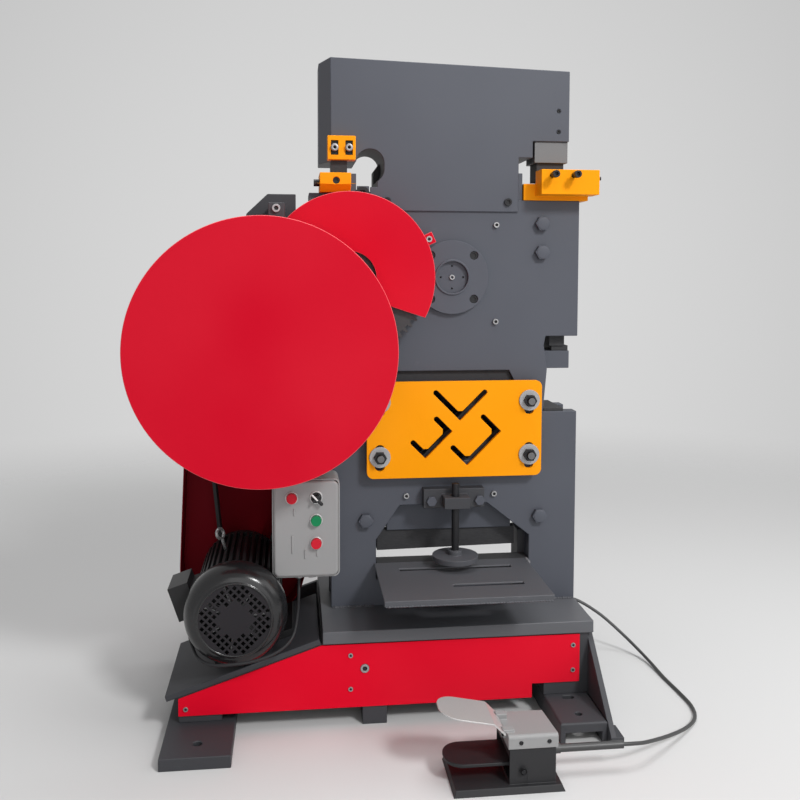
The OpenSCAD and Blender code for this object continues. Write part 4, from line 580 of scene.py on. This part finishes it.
def paint_shade_in_sockets(node):
    """Finds each screw as an island of faces and gives the hollow behind the front of its head a black
    finish as painted shade.
    """
    mesh = dressed[node].data
    shape = bmesh.new()
    shape.from_mesh(mesh)
    # The black rubber finish serves as painted shade in the sockets
    mesh.materials.append(finishes["black_rubber"])
    waiting = set(shape.verts)
    shaded_faces = 0
    while waiting:
        island = {waiting.pop()}
        growing = list(island)
        while growing:
            for edge in growing.pop().link_edges:
                for v in edge.verts:
                    if v in waiting:
                        waiting.remove(v)
                        island.add(v)
                        growing.append(v)
        corners = np.array([v.co for v in island]) / MM
        low, high = corners.min(axis=0), corners.max(axis=0)
        head = (high[0] - low[0]) / 2
        for face in {f for v in island for f in v.link_faces}:
            x, y, z = face.calc_center_median() / MM
            off = math.hypot(x - (low[0] + high[0]) / 2, z - (low[2] + high[2]) / 2)
            if off < SOCKET_SHARE * head and SOCKET_FROM < y - low[1] < SOCKET_TO:
                face.material_index = len(mesh.materials) - 1
                shaded_faces += 1
    shape.to_mesh(mesh)
    shape.free()
    print(node, "has", shaded_faces, "dark faces")


for screws in ("frame_screws", "slide_screws", "holder_screws"):
    paint_shade_in_sockets(screws)

# %% [markdown]
# ## Small forms
# The fan cowl has a rounded bell instead of a cone. The lid carries cast ribs and the selector a pointer
# with a white mark. Hexagon bolts have turned crowns, the yellow holder has two screw heads and the hood
# two screws. Weld beads run where the plate stands on the slab and along the front of the table. Each one
# is a surface over two parameters: u goes along or outwards and v goes round.

# %% Meshes over a grid


def grid_mesh(name, points):
    """A mesh over a grid of points, in metres, whose rows are closed rings."""
    rows, columns = points.shape[:2]
    i, j = np.meshgrid(np.arange(rows - 1), np.arange(columns), indexing="ij")
    k = (j + 1) % columns
    corners = [i * columns + j, i * columns + k, (i + 1) * columns + k, (i + 1) * columns + j]
    mesh = bpy.data.meshes.new(name)
    mesh.from_pydata(points.reshape(-1, 3).tolist(), [], np.stack(corners, -1).reshape(-1, 4).tolist())
    return mesh


def grid_piece(name, points, finish, body):
    """A small form over a grid of points, in millimetres, riding on a body."""
    mesh = grid_mesh(name, points * MM)
    mesh.shade_smooth()
    mesh.materials.append(finishes[finish])
    piece = bpy.data.objects.new(name, mesh)
    bpy.context.scene.collection.objects.link(piece)
    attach(piece, body)
    print(name, "has", len(mesh.polygons), "faces")


# %% Turned forms, capsules and beads


def whole_turn(steps):
    """Cosine and sine of evenly spaced angles v round a circle."""
    v = np.linspace(0, 2 * np.pi, steps, endpoint=False)
    return np.cos(v), np.sin(v)


def turned(x, z, profile, steps):
    """Points (x + r cos v, y, z - r sin v) for each r and y of a profile, from the front outwards."""
    r, y = np.array(profile, float).T
    cosine, sine = whole_turn(steps)
    return np.stack([x + np.outer(r, cosine), np.outer(y, np.ones(steps)), z - np.outer(r, sine)], -1)


def tube(middles, sizes, along, side, steps):
    """Rings round a line: middle + size (cos v side + sin v (along x side))."""
    cosine, sine = whole_turn(steps)
    ring = cosine[:, None] * side + sine[:, None] * np.cross(along, side)
    return middles[:, None] + sizes[:, None, None] * ring


def capsule(start, stop, r, rings=8, steps=16):
    """Half balls of radius r at both ends of a line across Y: r sin u along it, r cos u to its sides."""
    start, stop = np.array(start, float), np.array(stop, float)
    along = (stop - start) / np.linalg.norm(stop - start)
    u = np.linspace(-np.pi / 2, np.pi / 2, 2 * rings)
    middles = np.where((u < 0)[:, None], start, stop) + r * np.sin(u)[:, None] * along
    return tube(middles, r * np.cos(u), along, np.cross(along, (0, 1, 0)), steps)


def hashed(step):
    """A fixed random number from 0 to 1 for each whole step: the fraction of a large sine."""
    return np.modf(np.abs(np.sin(step * 12.9898) * 43758.5453))[0]


def bead(start, stop, r, pitch, steps=10):
    """A weld bead along a level line, with a ripple every pitch and a random size for each ripple.

    Its radius at s is r (0.7 + 0.2 sin(2 pi s / pitch) + 0.3 hashed(ripple)), and it fades to nothing at
    both ends.
    """
    start, stop = np.array(start, float), np.array(stop, float)
    length = np.linalg.norm(stop - start)
    along = (stop - start) / length
    s = np.linspace(0, length, int(length / pitch * 5))
    sizes = r * (0.7 + 0.2 * np.sin(2 * np.pi * s / pitch) + 0.3 * hashed(np.floor(s / pitch)))
    sizes *= np.clip(np.minimum(s, length - s) / r, 0, 1) ** 0.5
    return tube(start + s[:, None] * along, sizes, along, np.cross(along, (0, 0, 1)), steps)


# %% Bell of the fan cowl
# A lip round the grille, a quarter of an ellipse, and a short skirt
MOTOR = (-564.591, 303.175)
LIP = [(87.5, -199.8), (88, -201.5), (91, -202), (92.4, -201)]
SKIRT = [(127.4, -138), (127, -136.9)]
BELL_R, BELL_WIDE = 93, 34.4
BELL_BACK, BELL_DEEP = -150, 49.5
quarter = np.linspace(0, np.pi / 2, 14)
bell = list(zip(BELL_R + BELL_WIDE * np.sin(quarter), BELL_BACK - BELL_DEEP * np.cos(quarter)))
cowl = turned(*MOTOR, LIP + bell + SKIRT, 128)
grid_piece("cowl_bell", cowl, "cowl_black", body_of_node["motor_cowl"])

# %% Ribs of the lid and pointer of the selector
RIB_R = 2.4
RIB_IN = 2
RIBS = [(-420.2, 537, 555), (-424.8, 441, 487), (-393.2, 427, 450), (-363.1, 432, 448)]
for number, (x, low, high) in enumerate(RIBS):
    rib = capsule((x, LID_FRONT, low + RIB_IN), (x, LID_FRONT, high - RIB_IN), RIB_R)
    grid_piece(f"lid_rib_{number}", rib, "box_grey", body_of_node["control_lid"])

KNOB_Y = -150
POINTER_Y = KNOB_Y + 4
STRIPE_R, POINTER_R = 2.4, 4.5
stripe = capsule((-375, KNOB_Y, 593), (-363, KNOB_Y, 580), STRIPE_R)
grid_piece("selector_stripe", stripe, "white_mark", body_of_node["selector"])
pointer = capsule((-362, POINTER_Y, 579.5), (-352, POINTER_Y, 569), POINTER_R)
grid_piece("selector_pointer", pointer, "black_plastic", body_of_node["selector"])

# %% Crowns and screw heads


def set_back(y, profile):
    """A profile of radii and depths, with the depths counted from the front y of a solid."""
    return [(r, y + depth) for r, depth in profile]


HEX_FRONT = -15
CROWN = set_back(HEX_FRONT, [(0, -1.2), (14.5, -1.2), (16.6, -0.6), (17.4, 0.4)])
BOLTS = [(246, 1278), (246, 1201), (246, 483), (-229, 483)]
for number, place in enumerate(BOLTS):
    grid_piece(f"bolt_crown_{number}", turned(*place, CROWN, 48), "frame_grey", "machine")

HOLDER_FRONT = -46
HOLDER_HEAD = set_back(HOLDER_FRONT, [
    (3.6, 0), (4.0, -8.6), (5.2, -9), (8.6, -9), (9.8, -7.4), (10.2, -1), (9.8, 0.5)])
HOLDER_SCREWS = [(-313, 1465.5), (-276, 1465.5)]
for number, place in enumerate(HOLDER_SCREWS):
    grid_piece(f"holder_head_{number}", turned(*place, HOLDER_HEAD, 32), "bright_steel",
               body_of_node["slide_screws"])

HOOD_FRONT = -484
HOOD_HEAD = set_back(HOOD_FRONT, [(0, -1.2), (2, -1.2), (2.4, -2.4), (4.2, -2.0), (5, 0)])
HOOD_SCREWS = [(76.9, 110.2), (141.0, 110.9)]
for number, place in enumerate(HOOD_SCREWS):
    grid_piece(f"hood_screw_{number}", turned(*place, HOOD_HEAD, 24), "black_bolts",
               body_of_node["pedal_cover"])

# %% Weld beads
BEAD_PITCH = 7.0
BEADS = [
    ((-320, -1, 248), (-206, -1, 248), 4.0, "table_grey"),
    ((204, -1, 248), (347, -1, 248), 4.0, "table_grey"),
    ((-205, -282, 351.5), (208, -282, 351.5), 2.6, "table_grey"),
    ((211, -42, 364), (211, -2, 364), 4.5, "weld_grey"),
]
for number, (start, stop, r, finish) in enumerate(BEADS):
    grid_piece(f"weld_{number}", bead(start, stop, r, BEAD_PITCH), finish, "machine")

# %% [markdown]
# ## Studio
# A pale floor that fades into the backdrop, a soft lamp over the machine, the key lamp high on the right,
# two weak ones at the front and the side, and a pale sky. The floor keeps its soft shadow. The camera sees
# a plain light grey backdrop that is a little darker away from the middle of the view.

# %% Floor
FLOOR_REACH = 7.0
FLOOR_TONE = 0.63
FADE_FROM, FADE_TO = 1.4, 4.5


def floor_disc(radius, rings=24, spokes=96):
    """Polar grid from the rim inwards: ring i of n has radius r (1 - i / n)^2, finest in the middle."""
    r = radius * (np.arange(rings, -1, -1) / rings) ** 2
    cosine, sine = whole_turn(spokes)
    return np.stack([np.outer(r, cosine), np.outer(r, sine), np.zeros((rings + 1, spokes))], -1)


floor_mesh = grid_mesh("floor", floor_disc(FLOOR_REACH))
floor = bpy.data.objects.new("floor", floor_mesh)
bpy.context.scene.collection.objects.link(floor)
pale = Finish("floor")
away = pale.node("ShaderNodeVectorMath", {"operation": "LENGTH"}, {0: pale.place}, "Value")
pale.set(Base_Color=(FLOOR_TONE, FLOOR_TONE, FLOOR_TONE, 1), Roughness=0.9, Specular_IOR_Level=0.1,
         Alpha=1 - away.above(FADE_FROM, FADE_TO))
floor_mesh.materials.append(pale.material)
print("the floor fades from", FADE_FROM, "to", FADE_TO, "m")

# %% Lamps


def lamp(name, place, target, size, watts):
    """A square soft lamp that faces its target."""
    light = bpy.data.lights.new(name, "AREA")
    light.size = size
    light.energy = watts
    made = bpy.data.objects.new(name, light)
    bpy.context.scene.collection.objects.link(made)
    made.location = place
    aim = np.array(target, float) - np.array(place, float)
    made.rotation_mode = "QUATERNION"
    made.rotation_quaternion = Vector(aim).to_track_quat("-Z", "Y")


AIM = (-0.1, 0.0, 0.9)
lamp("overhead", (0.2, -0.1, 4.8), AIM, 2.5, 105)
lamp("key", (2.4, -4.2, 4.4), AIM, 1.0, 215)
lamp("eye_height", (0.4, -5.0, 1.7), AIM, 4.0, 62)
lamp("right", (4.0, -1.5, 3.0), AIM, 3.0, 40)
print("lamps:", len(bpy.data.lights))

# %% Sky and backdrop
# The backdrop's tone straight ahead, what it loses as the cosine of the view falls, and its least tone
BACKDROP = 0.70
BACKDROP_FALL = 1.0
BACKDROP_LEAST = 0.5
SKY_LIGHT = 0.31
world = bpy.data.worlds.new("studio")
bpy.context.scene.world = world
world.use_nodes = True
world.node_tree.nodes.clear()
air = Graph(world.node_tree)
by_eye, by_mirror, by_glass = (
    air.node("ShaderNodeLightPath", out=f"Is {ray} Ray") for ray in ("Camera", "Glossy", "Transmission"))
way = air.node("ShaderNodeTexCoord", out="Generated")
straight = air.node("ShaderNodeVectorMath", {"operation": "DOT_PRODUCT"},
                    {0: way, 1: forward.tolist()}, "Value")
tone = (straight * BACKDROP_FALL + (BACKDROP - BACKDROP_FALL)).at_least(BACKDROP_LEAST)
light_sky = air.node("ShaderNodeBackground", {}, {"Color": (1, 1, 1, 1), "Strength": SKY_LIGHT})
shown_sky = air.node("ShaderNodeBackground", {}, {"Color": tone})
sky = air.node("ShaderNodeMixShader", {},
               {"Fac": by_eye.at_least(by_mirror).at_least(by_glass), 1: light_sky, 2: shown_sky})
world_output = world.node_tree.nodes.new("ShaderNodeOutputWorld")
air.link(world_output.inputs["Surface"], sky)
bpy.context.scene.view_settings.view_transform = "Standard"
print("studio ready")
